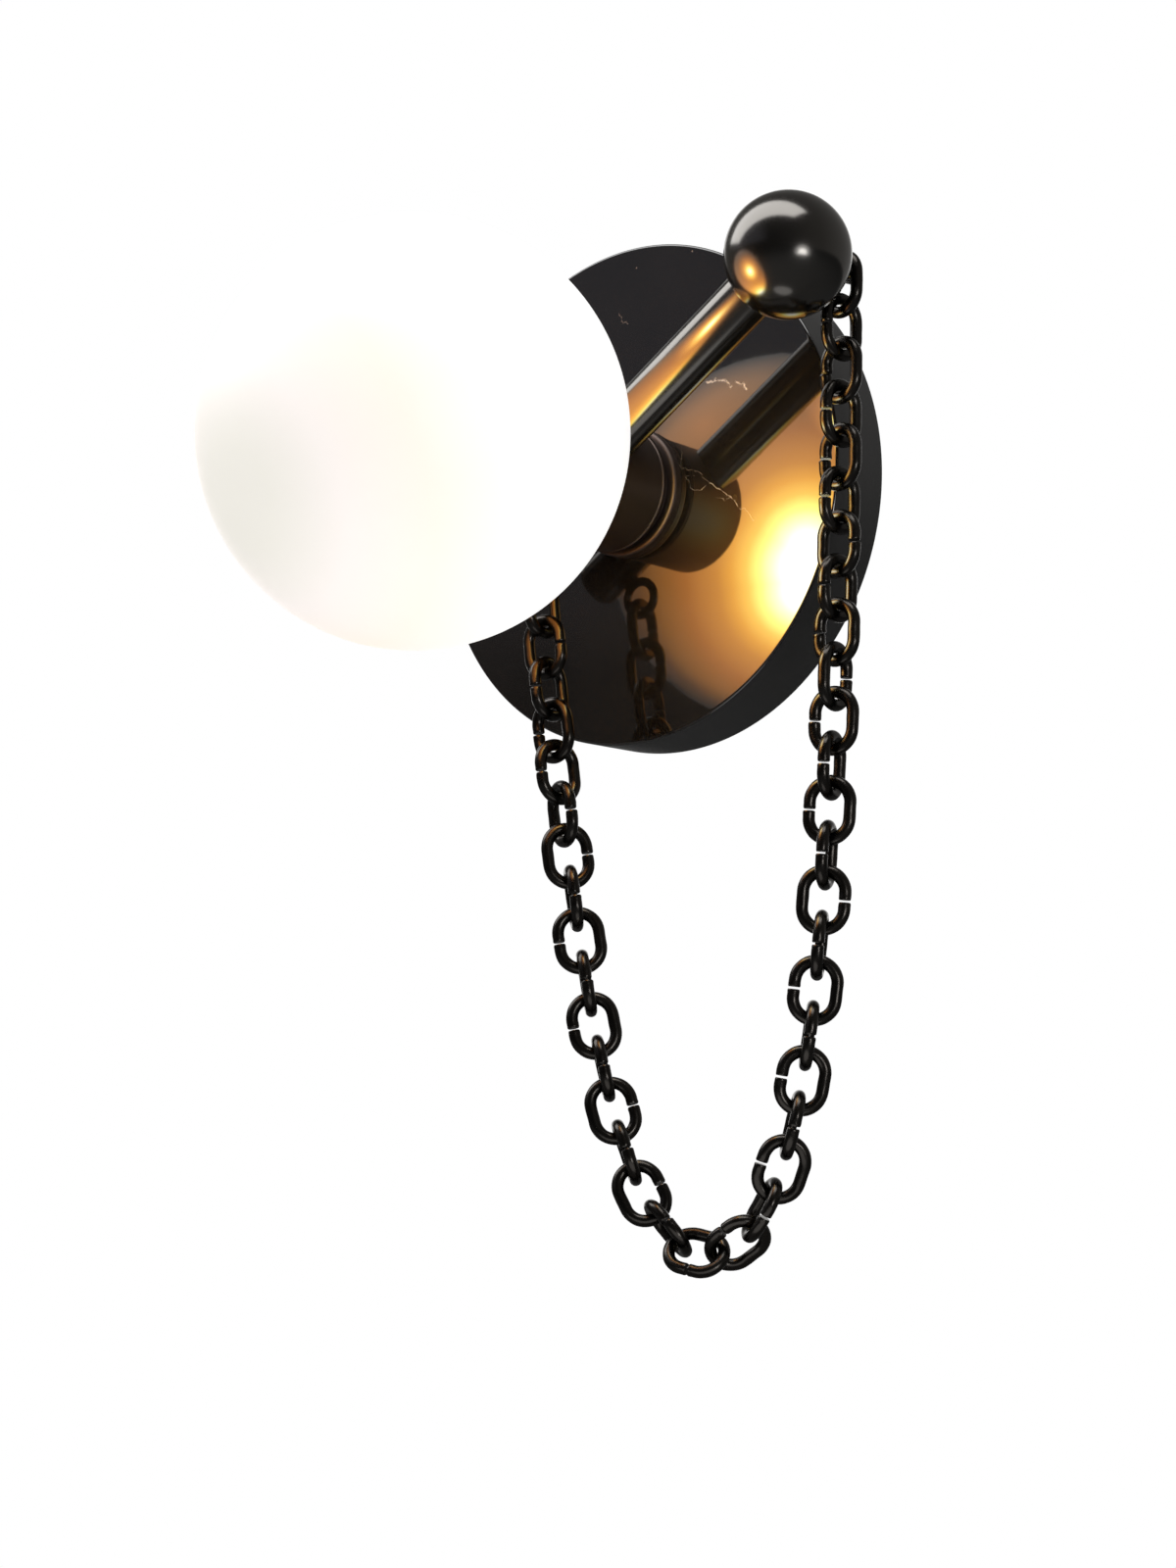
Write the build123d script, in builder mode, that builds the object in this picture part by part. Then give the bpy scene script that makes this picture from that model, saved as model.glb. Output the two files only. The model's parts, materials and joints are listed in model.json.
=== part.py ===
from build123d import *
from math import atan, cos, degrees, radians, sin, sqrt
import os

# A wall light: an opal globe on a round hub, a bar across the hub with a ball on its long end,
# a draped chain from the bar's short end to the ball, and a thick round stone backplate.
# The origin is the centre of the plate's back, on the wall. +X is right, +Z is up, and the
# light stands out along -Y. Sizes are in millimetres. A depth is a distance out from the wall.

# ---------------------------------------------------------------- driving sizes
# Stone backplate
plate_diameter = 190.0
plate_thickness = 28.0
plate_edge = 1.0
recess_diameter = 126.0
recess_depth = 17.0

# Crossbar on the wall
bar_length = 108.0
bar_width = 24.0
bar_thickness = 3.0
slot_spacing = 70.0
slot_length = 16.0
slot_width = 5.0
earth_hole_x = -17.0
earth_hole_diameter = 4.2

# Threaded parts on the lamp's axis
nipple_diameter = 10.0
nipple_bore = 6.8
nipple_tail = 0.3
nipple_nose = 3.9
nut_across_flats = 16.0
bar_nut_height = 4.0
nut_height = 5.0
rear_washer_diameter = 30.0
rear_washer_thickness = 1.6
hub_washer_diameter = 22.0
hub_washer_thickness = 1.2
thread_clearance = 0.1

# Terminal block on the crossbar
terminal_x = 18.5
terminal_length = 13.0
terminal_width = 15.0
terminal_height = 11.5
terminal_entry = 3.2

# Hub
hub_wall = 3.0
hub_floor = 6.0
flange_diameter = 49.0
flange_thickness = 4.0
flange_round = 1.2
waist_diameter = 41.0
waist_height = 3.5
bead_diameter = 47.6
bead_height = 2.6

# Globe: its standoff is from the plate's face to the back of the glass
globe_diameter = 150.0
globe_wall = 3.0
globe_standoff = 43.5
globe_seat_gap = 0.4
mouth_diameter = 36.0
mouth_length = 8.0
neck_clearance = 1.8
sleeve_thickness = 0.7
sleeve_height = 5.0
set_screw_diameter = 3.0
set_screw_turn = 90.0

# Lampholder and lamp
holder_diameter = 18.8
holder_length = 19.0
holder_cap_wall = 1.2
holder_cap_length = 7.5
pin_spacing = 9.0
pin_width = 2.6
pin_thickness = 1.0
pin_length = 9.6
pin_clearance = 0.4
contact_height = 2.4
lamp_base_diameter = 14.4
lamp_base_length = 10.0
lamp_diameter = 16.0
lamp_glass_length = 34.0
lamp_glass_wall = 0.8
lamp_core_diameter = 5.0
lamp_seat_gap = 0.2

# Bar across the hub: the stub's length and the eye's offset are from the hub's side
tube_diameter = 19.0
tube_wall = 1.5
bar_standoff = 32.7
bar_angle = 31.25
ball_reach = 117.2
stub_length = 20.5
insert_length = 13.5
bar_screw_diameter = 5.0
bar_screw_depth = 9.0
bar_screw_head_diameter = 7.5
bar_screw_head_height = 3.2
cap_dome = 5.0
cap_spigot = 3.2

# Ball
ball_diameter = 45.0
ball_socket_depth = 3.0
stud_diameter = 8.0
stud_depth = 12.0

# Chain of unwelded wire links
wire_diameter = 4.4
link_inner_length = 15.95
link_inner_width = 10.3
link_gap = 0.3
link_count = 40
split_width = 0.8
flipped_links = (3, 6, 12, 14, 25, 30, 33)
links_on_ball = 2
left_turn = -50.0
bottom_turn = 34.0

# Eye under the stub
eye_offset = 9.0
eye_wire = 3.5
eye_hole = 9.5
eye_shank_diameter = 4.0
eye_shank_depth = 5.0
eye_collar_diameter = 7.0
eye_collar_height = 0.8

# Shouldered screw at the back of the ball
chain_screw_lean = 9.5
shoulder_diameter = 4.5
chain_screw_thread = 3.8
chain_screw_depth = 10.0
chain_screw_head_diameter = 9.0
chain_screw_head_height = 2.4
spacer_diameter = 8.4
spacer_thickness = 1.8

# Fits
slip = 0.1
seam = 0.05

# ---------------------------------------------------------------- sizes that follow
plate_radius = plate_diameter / 2
globe_radius = globe_diameter / 2
mouth_radius = mouth_diameter / 2
sleeve_radius = mouth_radius + sleeve_thickness
cup_radius = sleeve_radius + neck_clearance
hub_radius = cup_radius + hub_wall
nipple_radius = nipple_diameter / 2
nipple_hole = nipple_radius + thread_clearance
tube_radius = tube_diameter / 2
insert_radius = tube_radius - tube_wall - slip
ball_radius = ball_diameter / 2
wire_radius = wire_diameter / 2

flange_front = plate_thickness + flange_thickness
waist_front = flange_front + waist_height
cup_back = waist_front + bead_height
cup_floor = cup_back + hub_floor
hub_nut_back = cup_floor + hub_washer_thickness
holder_back = hub_nut_back + nut_height
nipple_front = holder_back + nipple_nose
holder_foot = nipple_front + slip
holder_front = holder_foot + holder_length
bar_depth = plate_thickness + bar_standoff
globe_depth = plate_thickness + globe_standoff + globe_radius
mouth_root = globe_depth - sqrt(globe_radius**2 - mouth_radius**2)
mouth_back = mouth_root - mouth_length
lamp_back = holder_front + lamp_seat_gap
stub_reach = hub_radius + stub_length
eye_reach = hub_radius + eye_offset


# ---------------------------------------------------------------- helpers
def out_plane(depth):
    """The plane at a depth, seen from the room, with its normal out of the wall."""
    return Plane(origin=(0, -depth, 0), x_dir=(1, 0, 0), z_dir=(0, -1, 0))


def bar_plane(reach, turn=0.0):
    """The plane across the bar at a distance from the lamp's axis, with its normal outwards."""
    angle = radians(bar_angle + turn)
    outward = Vector(cos(angle), 0, sin(angle))
    return Plane(origin=outward * reach + Vector(0, -bar_depth, 0), x_dir=(0, -1, 0), z_dir=outward)


def radial_plane(reach, depth, turn):
    """The plane at a distance from the lamp's axis, at a depth and an angle from the bar."""
    angle = radians(bar_angle + turn)
    outward = Vector(cos(angle), 0, sin(angle))
    return Plane(origin=outward * reach + Vector(0, -depth, 0), x_dir=(0, -1, 0), z_dir=outward)


def disc(plane, radius, height, bore=0.0, mode=Mode.ADD):
    """A round plate, or a ring where it has a bore, that stands on a plane."""
    with BuildSketch(plane) as outline:
        Circle(radius)
        if bore:
            Circle(bore, mode=Mode.SUBTRACT)
    extrude(outline.sketch, amount=height, mode=mode)


def hex_nut(depth, height):
    """A hexagon nut on the nipple."""
    with BuildSketch(out_plane(depth)) as outline:
        RegularPolygon(nut_across_flats / 2, 6, major_radius=False)
        Circle(nipple_hole, mode=Mode.SUBTRACT)
    extrude(outline.sketch, amount=height)


def smooth_step(value, low, high):
    """0 before low, 1 after high, and a smooth climb between them."""
    share = min(max((value - low) / (high - low), 0.0), 1.0)
    return share * share * (3 - 2 * share)


def link_turn(number):
    """How far a link is turned about its own length from the chain's upright plane, in degrees."""
    twist = -chain_yaw
    twist += left_turn * smooth_step(number, 0.05 * link_count, 0.2 * link_count)
    twist += bottom_turn * smooth_step(number, 0.35 * link_count, 0.5 * link_count)
    twist += right_turn * smooth_step(number, 0.5 * link_count, 0.875 * link_count)
    return twist + 90 * (number % 2)


def lay_links(step, level, yaw):
    """Lay the links from the eye, and give each link's plane and the point where the last ends.

    Each link carries the weight of those below it, so the tangent of a link's slope grows by the
    same step from one link to the next. Neighbours bend about the centres of their bows, and the
    line between those two centres lies flat in both links.
    """
    level_run = Vector(cos(yaw), sin(yaw), 0)
    aside = Vector(sin(yaw), -cos(yaw), 0)
    planes = []
    for number in range(link_count):
        slope = atan(step * (number + 0.5 - level))
        along = level_run * cos(slope) + Vector(0, 0, sin(slope))
        turn = radians(link_turn(number))
        wide = aside * cos(turn) + aside.cross(along) * sin(turn)
        flat = wide.cross(along)
        if planes:
            between = planes[-1].z_dir.cross(flat).normalized()
            forward = 1 if between.dot(along) > 0 else -1
            middle = bow_centre + between * forward * joint_length + along * leg
        else:
            middle = chain_start + along * (joint_length / 2 + leg)
        planes.append(Plane(origin=middle, x_dir=wide, z_dir=flat))
        bow_centre = middle + along * leg
    return planes, bow_centre + along * (joint_length / 2)


def hang_chain(step, level, yaw):
    """Find the step, the level link and the direction that bring the chain's end to the ball."""
    nudge = 1e-6
    for _ in range(12):
        end = lay_links(step, level, yaw)[1]
        by_step = (lay_links(step + nudge, level, yaw)[1] - end) * (1 / nudge)
        by_level = (lay_links(step, level + nudge, yaw)[1] - end) * (1 / nudge)
        by_yaw = (lay_links(step, level, yaw + nudge)[1] - end) * (1 / nudge)
        miss = chain_end - end
        size = by_step.dot(by_level.cross(by_yaw))
        step += miss.dot(by_level.cross(by_yaw)) / size
        level += miss.dot(by_yaw.cross(by_step)) / size
        yaw += miss.dot(by_step.cross(by_level)) / size
    return lay_links(step, level, yaw)[0]


# ---------------------------------------------------------------- wall side
with BuildPart() as stone_backplate:
    disc(out_plane(0), plate_radius, plate_thickness)
    fillet(stone_backplate.edges().group_by(Axis.Y)[0], plate_edge)
    disc(out_plane(0), recess_diameter / 2, recess_depth, mode=Mode.SUBTRACT)
    disc(out_plane(0), nipple_hole, plate_thickness, mode=Mode.SUBTRACT)

with BuildPart() as wall_crossbar:
    with BuildSketch(out_plane(0)):
        RectangleRounded(bar_length, bar_width, bar_width / 5)
        Circle(nipple_hole, mode=Mode.SUBTRACT)
        with Locations((earth_hole_x, 0)):
            Circle(earth_hole_diameter / 2, mode=Mode.SUBTRACT)
        with GridLocations(slot_spacing, 0, 2, 1):
            SlotOverall(slot_length, slot_width, mode=Mode.SUBTRACT)
    extrude(amount=bar_thickness)

with BuildPart() as earth_screw:
    shank_radius = earth_hole_diameter / 2 - slip
    with BuildSketch(out_plane(nipple_tail)):
        with Locations((earth_hole_x, 0)):
            Circle(shank_radius)
    extrude(amount=bar_thickness)
    with BuildSketch(out_plane(bar_thickness)):
        with Locations((earth_hole_x, 0)):
            Circle(2 * shank_radius)
            Rectangle(3 * shank_radius, shank_radius / 2, mode=Mode.SUBTRACT)
    extrude(amount=shank_radius)
    with BuildSketch(out_plane(bar_thickness)):
        with Locations((earth_hole_x, 0)):
            Circle(2 * shank_radius)
    extrude(amount=shank_radius / 2)

with BuildPart() as terminal_block:
    with BuildSketch(out_plane(bar_thickness)):
        with Locations((terminal_x, 0)):
            RectangleRounded(terminal_length, terminal_width, 1.0)
    extrude(amount=terminal_height)
    with BuildSketch(Plane.XY.offset(-terminal_width / 2)):
        with Locations((terminal_x, -bar_thickness - terminal_height / 3)):
            with GridLocations(terminal_length / 2, 0, 2, 1):
                Circle(terminal_entry / 2)
    extrude(amount=terminal_width, mode=Mode.SUBTRACT)
    with BuildSketch(out_plane(bar_thickness + terminal_height)):
        with Locations((terminal_x, 0)):
            with GridLocations(terminal_length / 2, terminal_width / 2, 2, 2):
                Circle(terminal_entry / 2)
    extrude(amount=-terminal_height / 3, mode=Mode.SUBTRACT)

with BuildPart() as threaded_nipple:
    disc(out_plane(nipple_tail), nipple_radius, nipple_front - nipple_tail, nipple_bore / 2)

with BuildPart() as crossbar_nut:
    hex_nut(bar_thickness, bar_nut_height)

with BuildPart() as rear_nut:
    hex_nut(recess_depth - rear_washer_thickness - nut_height, nut_height)

with BuildPart() as rear_washer:
    back = out_plane(recess_depth - rear_washer_thickness)
    disc(back, rear_washer_diameter / 2, rear_washer_thickness, nipple_hole)

# ---------------------------------------------------------------- hub
with BuildPart() as hub_flange:
    disc(out_plane(plate_thickness), flange_diameter / 2, flange_thickness)
    fillet(hub_flange.edges().group_by(Axis.Y)[0], flange_round)
    disc(out_plane(flange_front), waist_diameter / 2, waist_height)
    disc(out_plane(plate_thickness), nipple_hole, waist_front - plate_thickness, mode=Mode.SUBTRACT)

with BuildPart() as hub_bead:
    disc(out_plane(waist_front), bead_diameter / 2, bead_height, nipple_hole)
    rims = hub_bead.edges().filter_by(GeomType.CIRCLE).sort_by(SortBy.RADIUS)[-2:]
    fillet(rims, bead_height / 3)

with BuildPart() as hub_cup:
    disc(out_plane(cup_back), hub_radius, globe_depth - cup_back)
    disc(out_plane(cup_floor), cup_radius, globe_depth - cup_floor, mode=Mode.SUBTRACT)
    disc(out_plane(cup_back), nipple_hole, hub_floor, mode=Mode.SUBTRACT)
    with Locations((0, -globe_depth, 0)):
        Sphere(globe_radius + globe_seat_gap, mode=Mode.SUBTRACT)
    for turn in (0.0, 180.0):
        hole = radial_plane(cup_radius / 2, bar_depth, turn)
        disc(hole, bar_screw_diameter / 2 + slip, hub_radius, mode=Mode.SUBTRACT)
    set_screw_depth = mouth_back + mouth_length / 2
    for turn in (0.0, 120.0, 240.0):
        hole = radial_plane(cup_radius / 2, set_screw_depth, set_screw_turn + turn)
        disc(hole, set_screw_diameter / 2 + seam, hub_radius, mode=Mode.SUBTRACT)

with BuildPart() as hub_washer:
    disc(out_plane(cup_floor), hub_washer_diameter / 2, hub_washer_thickness, nipple_hole)

with BuildPart() as hub_nut:
    hex_nut(hub_nut_back, nut_height)

with BuildPart() as globe_set_screws:
    screw_length = hub_radius - sleeve_radius - link_gap
    for turn in (0.0, 120.0, 240.0):
        tip = radial_plane(sleeve_radius + link_gap, set_screw_depth, set_screw_turn + turn)
        disc(tip, set_screw_diameter / 2, screw_length)
        socket = radial_plane(hub_radius - screw_length / 3, set_screw_depth, set_screw_turn + turn)
        disc(socket, set_screw_diameter / 4, screw_length, mode=Mode.SUBTRACT)

# ---------------------------------------------------------------- lampholder
with BuildPart() as holder_cap:
    cap_inner = holder_diameter / 2 + slip
    cap_outer = cap_inner + holder_cap_wall
    disc(out_plane(holder_back), cap_outer, holder_cap_length)
    disc(out_plane(nipple_front), cap_inner, holder_cap_length, mode=Mode.SUBTRACT)
    disc(out_plane(holder_back), nipple_hole, nipple_nose, mode=Mode.SUBTRACT)

with BuildPart() as lampholder:
    disc(out_plane(holder_foot), holder_diameter / 2, holder_length)
    fillet(lampholder.edges().group_by(Axis.Y)[0], 0.8)
    with BuildSketch(out_plane(holder_front)):
        with GridLocations(pin_spacing, 0, 2, 1):
            Rectangle(pin_thickness + 2 * pin_clearance, pin_width + 2 * pin_clearance)
    extrude(amount=-(pin_length + contact_height + 2 * pin_clearance), mode=Mode.SUBTRACT)

with BuildPart() as holder_contacts:
    contact_back = holder_front - pin_length - contact_height - pin_clearance
    with BuildSketch(out_plane(contact_back)):
        with GridLocations(pin_spacing, 0, 2, 1):
            Rectangle(pin_thickness + pin_clearance, pin_width + pin_clearance)
    extrude(amount=contact_height)

# ---------------------------------------------------------------- lamp
lamp_base_front = lamp_back + lamp_base_length
lamp_radius = lamp_diameter / 2

with BuildPart() as lamp_base:
    disc(out_plane(lamp_back), lamp_base_diameter / 2, lamp_base_length)
    chamfer(lamp_base.edges().group_by(Axis.Y)[-1], 0.8)

with BuildPart() as lamp_pins:
    with BuildSketch(out_plane(lamp_back)):
        with GridLocations(pin_spacing, 0, 2, 1):
            Rectangle(pin_thickness, pin_width)
    extrude(amount=-pin_length)

with BuildPart() as lamp_glass:
    disc(out_plane(lamp_base_front), lamp_radius, lamp_glass_length)
    fillet(lamp_glass.edges().group_by(Axis.Y)[0], lamp_radius * 0.8)
    hollow = out_plane(lamp_base_front)
    disc(hollow, lamp_radius - lamp_glass_wall, lamp_glass_length - lamp_radius, mode=Mode.SUBTRACT)

with BuildPart() as lamp_core:
    disc(out_plane(lamp_base_front), lamp_core_diameter / 2, lamp_glass_length - 1.5 * lamp_radius)

# ---------------------------------------------------------------- globe
with BuildPart() as opal_globe:
    inner_radius = globe_radius - globe_wall
    inner_mouth = mouth_radius - globe_wall
    inner_root = globe_depth - sqrt(inner_radius**2 - inner_mouth**2)
    with BuildSketch(Plane.XY):
        with BuildLine():
            ThreePointArc(
                (0, -globe_depth - globe_radius),
                (globe_radius, -globe_depth),
                (mouth_radius, -mouth_root),
            )
            Polyline(
                (mouth_radius, -mouth_root),
                (mouth_radius, -mouth_back),
                (inner_mouth, -mouth_back),
                (inner_mouth, -inner_root),
            )
            ThreePointArc(
                (inner_mouth, -inner_root),
                (inner_radius, -globe_depth),
                (0, -globe_depth - inner_radius),
            )
            Line((0, -globe_depth - inner_radius), (0, -globe_depth - globe_radius))
        make_face()
    revolve(axis=Axis.Y)

with BuildPart() as mouth_sleeve:
    sleeve_back = set_screw_depth - sleeve_height / 2
    disc(out_plane(sleeve_back), sleeve_radius, sleeve_height, mouth_radius + seam)

# ---------------------------------------------------------------- bar across the hub
ball_socket_reach = ball_reach - sqrt(ball_radius**2 - tube_radius**2) + ball_socket_depth
saddle_radius = hub_radius + seam
insert_reach = hub_radius + 1.0


def bar_tube(turn, reach):
    """A tube that starts on the hub's side and ends at a distance from the lamp's axis."""
    disc(bar_plane(0, turn), tube_radius, reach, tube_radius - tube_wall)
    disc(out_plane(cup_back), saddle_radius, globe_depth - cup_back, mode=Mode.SUBTRACT)


def root_insert(turn):
    """A threaded slug in the tube's hub end."""
    disc(bar_plane(insert_reach, turn), insert_radius, insert_length, bar_screw_diameter / 2 + seam)


def root_screw(turn):
    """A screw from inside the cup that draws the tube on to the hub."""
    seat = cup_radius - 0.4
    disc(bar_plane(seat, turn), bar_screw_diameter / 2, hub_wall + bar_screw_depth)
    disc(bar_plane(seat, turn), bar_screw_head_diameter / 2, -bar_screw_head_height)
    socket = bar_plane(seat - bar_screw_head_height, turn)
    disc(socket, bar_screw_diameter / 4, bar_screw_head_height / 2, mode=Mode.SUBTRACT)


with BuildPart() as arm_tube:
    bar_tube(0.0, ball_socket_reach - seam)

with BuildPart() as arm_root_insert:
    root_insert(0.0)

with BuildPart() as arm_screw:
    root_screw(0.0)

with BuildPart() as arm_tip_insert:
    tip_back = ball_socket_reach - insert_length - seam
    disc(bar_plane(tip_back), insert_radius, insert_length, stud_diameter / 2 + seam)

with BuildPart() as ball_stud:
    disc(bar_plane(tip_back), stud_diameter / 2, insert_length + stud_depth)

# The stub points the other way, and carries the eye that the chain hangs from.
eye_mean_radius = (eye_hole + eye_wire) / 2
eye_drop = tube_radius + eye_collar_height + eye_mean_radius + eye_wire / 2
stub_point = bar_plane(eye_reach, 180.0).origin
eye_down = Vector(sin(radians(bar_angle)), 0, -cos(radians(bar_angle)))
eye_centre = stub_point + eye_down * eye_drop
eye_foot = Plane(origin=stub_point, x_dir=(0, 1, 0), z_dir=eye_down)

with BuildPart() as stub_tube:
    bar_tube(180.0, stub_reach)
    disc(eye_foot, eye_shank_diameter / 2 + slip, tube_diameter, mode=Mode.SUBTRACT)

with BuildPart() as stub_root_insert:
    root_insert(180.0)
    disc(eye_foot, eye_shank_diameter / 2 + slip, tube_diameter, mode=Mode.SUBTRACT)

with BuildPart() as stub_screw:
    root_screw(180.0)

with BuildPart() as stub_cap:
    disc(bar_plane(stub_reach - cap_spigot, 180.0), insert_radius, cap_spigot)
    disc(bar_plane(stub_reach, 180.0), tube_radius, cap_dome)
    crown = stub_cap.faces().sort_by(SortBy.DISTANCE)[-1]
    fillet(crown.edges(), cap_dome * 0.9)

with BuildPart() as stub_eye:
    with Locations(Plane(origin=eye_centre, x_dir=(1, 0, 0), z_dir=(0, 1, 0))):
        Torus(eye_mean_radius, eye_wire / 2)
    shank_start = tube_radius - eye_shank_depth
    shank_plane = eye_foot.offset(shank_start)
    disc(shank_plane, eye_shank_diameter / 2, eye_drop - eye_mean_radius - shank_start)
    disc(eye_foot.offset(tube_radius), eye_collar_diameter / 2, eye_collar_height + eye_wire / 3)

# ---------------------------------------------------------------- ball
ball_centre = bar_plane(ball_reach).origin
lean = radians(chain_screw_lean)
screw_direction = Vector(sin(lean), cos(lean), 0)
chain_screw_plane = Plane(origin=ball_centre, x_dir=(0, 0, 1), z_dir=screw_direction)
chain_standoff = ball_radius + spacer_thickness + link_gap + wire_radius

with BuildPart() as ball:
    with Locations(ball_centre):
        Sphere(ball_radius)
    disc(bar_plane(0), tube_radius + slip, ball_socket_reach, mode=Mode.SUBTRACT)
    disc(bar_plane(0), stud_diameter / 2 + slip, ball_socket_reach + stud_depth, mode=Mode.SUBTRACT)
    thread = chain_screw_plane.offset(ball_radius - chain_screw_depth - slip)
    disc(thread, chain_screw_thread / 2 + slip, ball_radius, mode=Mode.SUBTRACT)

with BuildPart() as chain_spacer:
    disc(chain_screw_plane, spacer_diameter / 2, ball_radius + spacer_thickness)
    with Locations(ball_centre):
        Sphere(ball_radius + seam, mode=Mode.SUBTRACT)
    disc(chain_screw_plane, shoulder_diameter / 2 + slip, 2 * ball_radius, mode=Mode.SUBTRACT)

with BuildPart() as chain_screw:
    thread = chain_screw_plane.offset(ball_radius - chain_screw_depth)
    head_seat = chain_standoff + wire_radius + link_gap
    disc(thread, chain_screw_thread / 2, chain_screw_depth + seam)
    shoulder = chain_screw_plane.offset(ball_radius + seam)
    disc(shoulder, shoulder_diameter / 2, head_seat - ball_radius - seam)
    head = chain_screw_plane.offset(head_seat)
    disc(head, chain_screw_head_diameter / 2, chain_screw_head_height)
    with BuildSketch(head.offset(chain_screw_head_height)):
        Rectangle(chain_screw_head_diameter, 1.2)
    extrude(amount=-chain_screw_head_height / 2, mode=Mode.SUBTRACT)

# ---------------------------------------------------------------- chain
eye_hold = Vector(0, 0, link_gap / 2 - eye_hole / 2)
screw_hold = Vector(0, 0, link_gap / 2 + shoulder_diameter / 2)
chain_start = eye_centre + eye_hold
chain_end = ball_centre + screw_direction * chain_standoff + screw_hold

# One link, drawn on its own: its length is along Y, its width along X, and one leg is split.
leg = (link_inner_length - link_inner_width) / 2
bend = (link_inner_width + wire_diameter) / 2
joint_length = link_inner_width - link_gap
with BuildPart() as link:
    with BuildLine() as link_path:
        Line((bend, split_width / 2), (bend, leg))
        ThreePointArc((bend, leg), (0, leg + bend), (-bend, leg))
        Line((-bend, leg), (-bend, -leg))
        ThreePointArc((-bend, -leg), (0, -leg - bend), (bend, -leg))
        Line((bend, -leg), (bend, -split_width / 2))
    with BuildSketch(Plane(origin=(bend, split_width / 2, 0), z_dir=(0, 1, 0))):
        Circle(wire_radius)
    sweep(path=link_path.wires()[0])

# The first link lies square to the wall and the last lies flat on the ball's screw. The steps
# between them are the twists that the chain takes on its way.
chain_run = chain_end - chain_start
chain_yaw = degrees(atan(chain_run.Y / chain_run.X))
right_turn = 2 * chain_yaw + chain_screw_lean - left_turn - bottom_turn
link_planes = hang_chain(0.9, 0.42 * link_count, radians(chain_yaw))


def link_place(number):
    """Where a link lies, with its split on one side or the other."""
    plane = link_planes[number]
    if number in flipped_links:
        plane = Plane(origin=plane.origin, x_dir=-plane.x_dir, z_dir=-plane.z_dir)
    return plane.location


swinging_links = link_count - links_on_ball
link_groups = {}
for first in range(0, swinging_links, 2):
    with BuildPart() as chain_links:
        with Locations(link_place(first), link_place(first + 1)):
            add(link.part)
    link_groups[f"chain_links_{first + 1:02d}_{first + 2:02d}"] = chain_links

with BuildPart() as ball_links:
    with Locations(*[link_place(number) for number in range(swinging_links, link_count)]):
        add(link.part)

# The chain swings about the line from the eye's lower wire to the top bow of its highest link.
eye_pivot = eye_centre - Vector(0, 0, eye_mean_radius)
top_plane = link_planes[swinging_links - 1]
top_pivot = top_plane.origin + top_plane.y_dir * (leg + bend)

# ---------------------------------------------------------------- named pieces
pieces = {
    "stone_backplate": stone_backplate,
    "wall_crossbar": wall_crossbar,
    "earth_screw": earth_screw,
    "terminal_block": terminal_block,
    "threaded_nipple": threaded_nipple,
    "crossbar_nut": crossbar_nut,
    "rear_nut": rear_nut,
    "rear_washer": rear_washer,
    "hub_flange": hub_flange,
    "hub_bead": hub_bead,
    "hub_cup": hub_cup,
    "hub_washer": hub_washer,
    "hub_nut": hub_nut,
    "globe_set_screws": globe_set_screws,
    "holder_cap": holder_cap,
    "lampholder": lampholder,
    "holder_contacts": holder_contacts,
    "lamp_base": lamp_base,
    "lamp_pins": lamp_pins,
    "lamp_glass": lamp_glass,
    "lamp_core": lamp_core,
    "opal_globe": opal_globe,
    "mouth_sleeve": mouth_sleeve,
    "arm_tube": arm_tube,
    "arm_root_insert": arm_root_insert,
    "arm_screw": arm_screw,
    "arm_tip_insert": arm_tip_insert,
    "ball_stud": ball_stud,
    "ball": ball,
    "stub_tube": stub_tube,
    "stub_root_insert": stub_root_insert,
    "stub_screw": stub_screw,
    "stub_cap": stub_cap,
    "stub_eye": stub_eye,
    "chain_spacer": chain_spacer,
    "chain_screw": chain_screw,
    "ball_links": ball_links,
}
pieces.update(link_groups)

os.makedirs("parts", exist_ok=True)
for name, piece in pieces.items():
    piece.part.label = name
    export_step(piece.part, f"parts/{name}.step")

print("pieces", len(pieces))
print("eye pivot", eye_pivot, "top pivot", top_pivot)
print("chain lowest link", min(plane.origin.Z for plane in link_planes))
print("globe centre depth", globe_depth, "cup rim near", mouth_root, "holder front", holder_front)
print("set screw depth", set_screw_depth, "ball centre", ball_centre, "chain end", chain_end)
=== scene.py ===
"""Looks of a wall light: an opal globe, a round hub, a bar with a ball, a chain and a stone plate.

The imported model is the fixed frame. Sizes are in millimetres until a mesh is written, and a depth
is a distance out from the wall, which is -Y. Each sub-assembly is a class with its own sizes.
"""

from __future__ import annotations

import json
import logging
import math
from dataclasses import dataclass, field
from enum import Enum
from typing import Sequence, Union

import bpy
import numpy as np
from mathutils import Matrix


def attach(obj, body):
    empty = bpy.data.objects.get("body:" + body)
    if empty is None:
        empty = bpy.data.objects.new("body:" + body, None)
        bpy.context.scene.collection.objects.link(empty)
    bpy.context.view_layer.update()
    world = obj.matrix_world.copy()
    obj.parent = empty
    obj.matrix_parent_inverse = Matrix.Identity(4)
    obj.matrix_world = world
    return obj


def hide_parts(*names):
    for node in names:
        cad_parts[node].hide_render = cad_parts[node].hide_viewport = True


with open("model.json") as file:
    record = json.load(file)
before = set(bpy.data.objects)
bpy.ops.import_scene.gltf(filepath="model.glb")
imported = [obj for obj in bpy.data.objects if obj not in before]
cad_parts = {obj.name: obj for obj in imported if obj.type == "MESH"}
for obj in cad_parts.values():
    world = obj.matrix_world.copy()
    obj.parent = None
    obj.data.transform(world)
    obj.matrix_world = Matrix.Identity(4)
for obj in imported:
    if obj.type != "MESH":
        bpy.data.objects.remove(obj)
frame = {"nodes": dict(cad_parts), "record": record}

LOG = logging.getLogger("wall_light")
MM = 0.001
SHARP_ANGLE = 40.0
SUPPORT_SHARE, SUPPORT_LEAST = 0.35, 0.05
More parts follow.
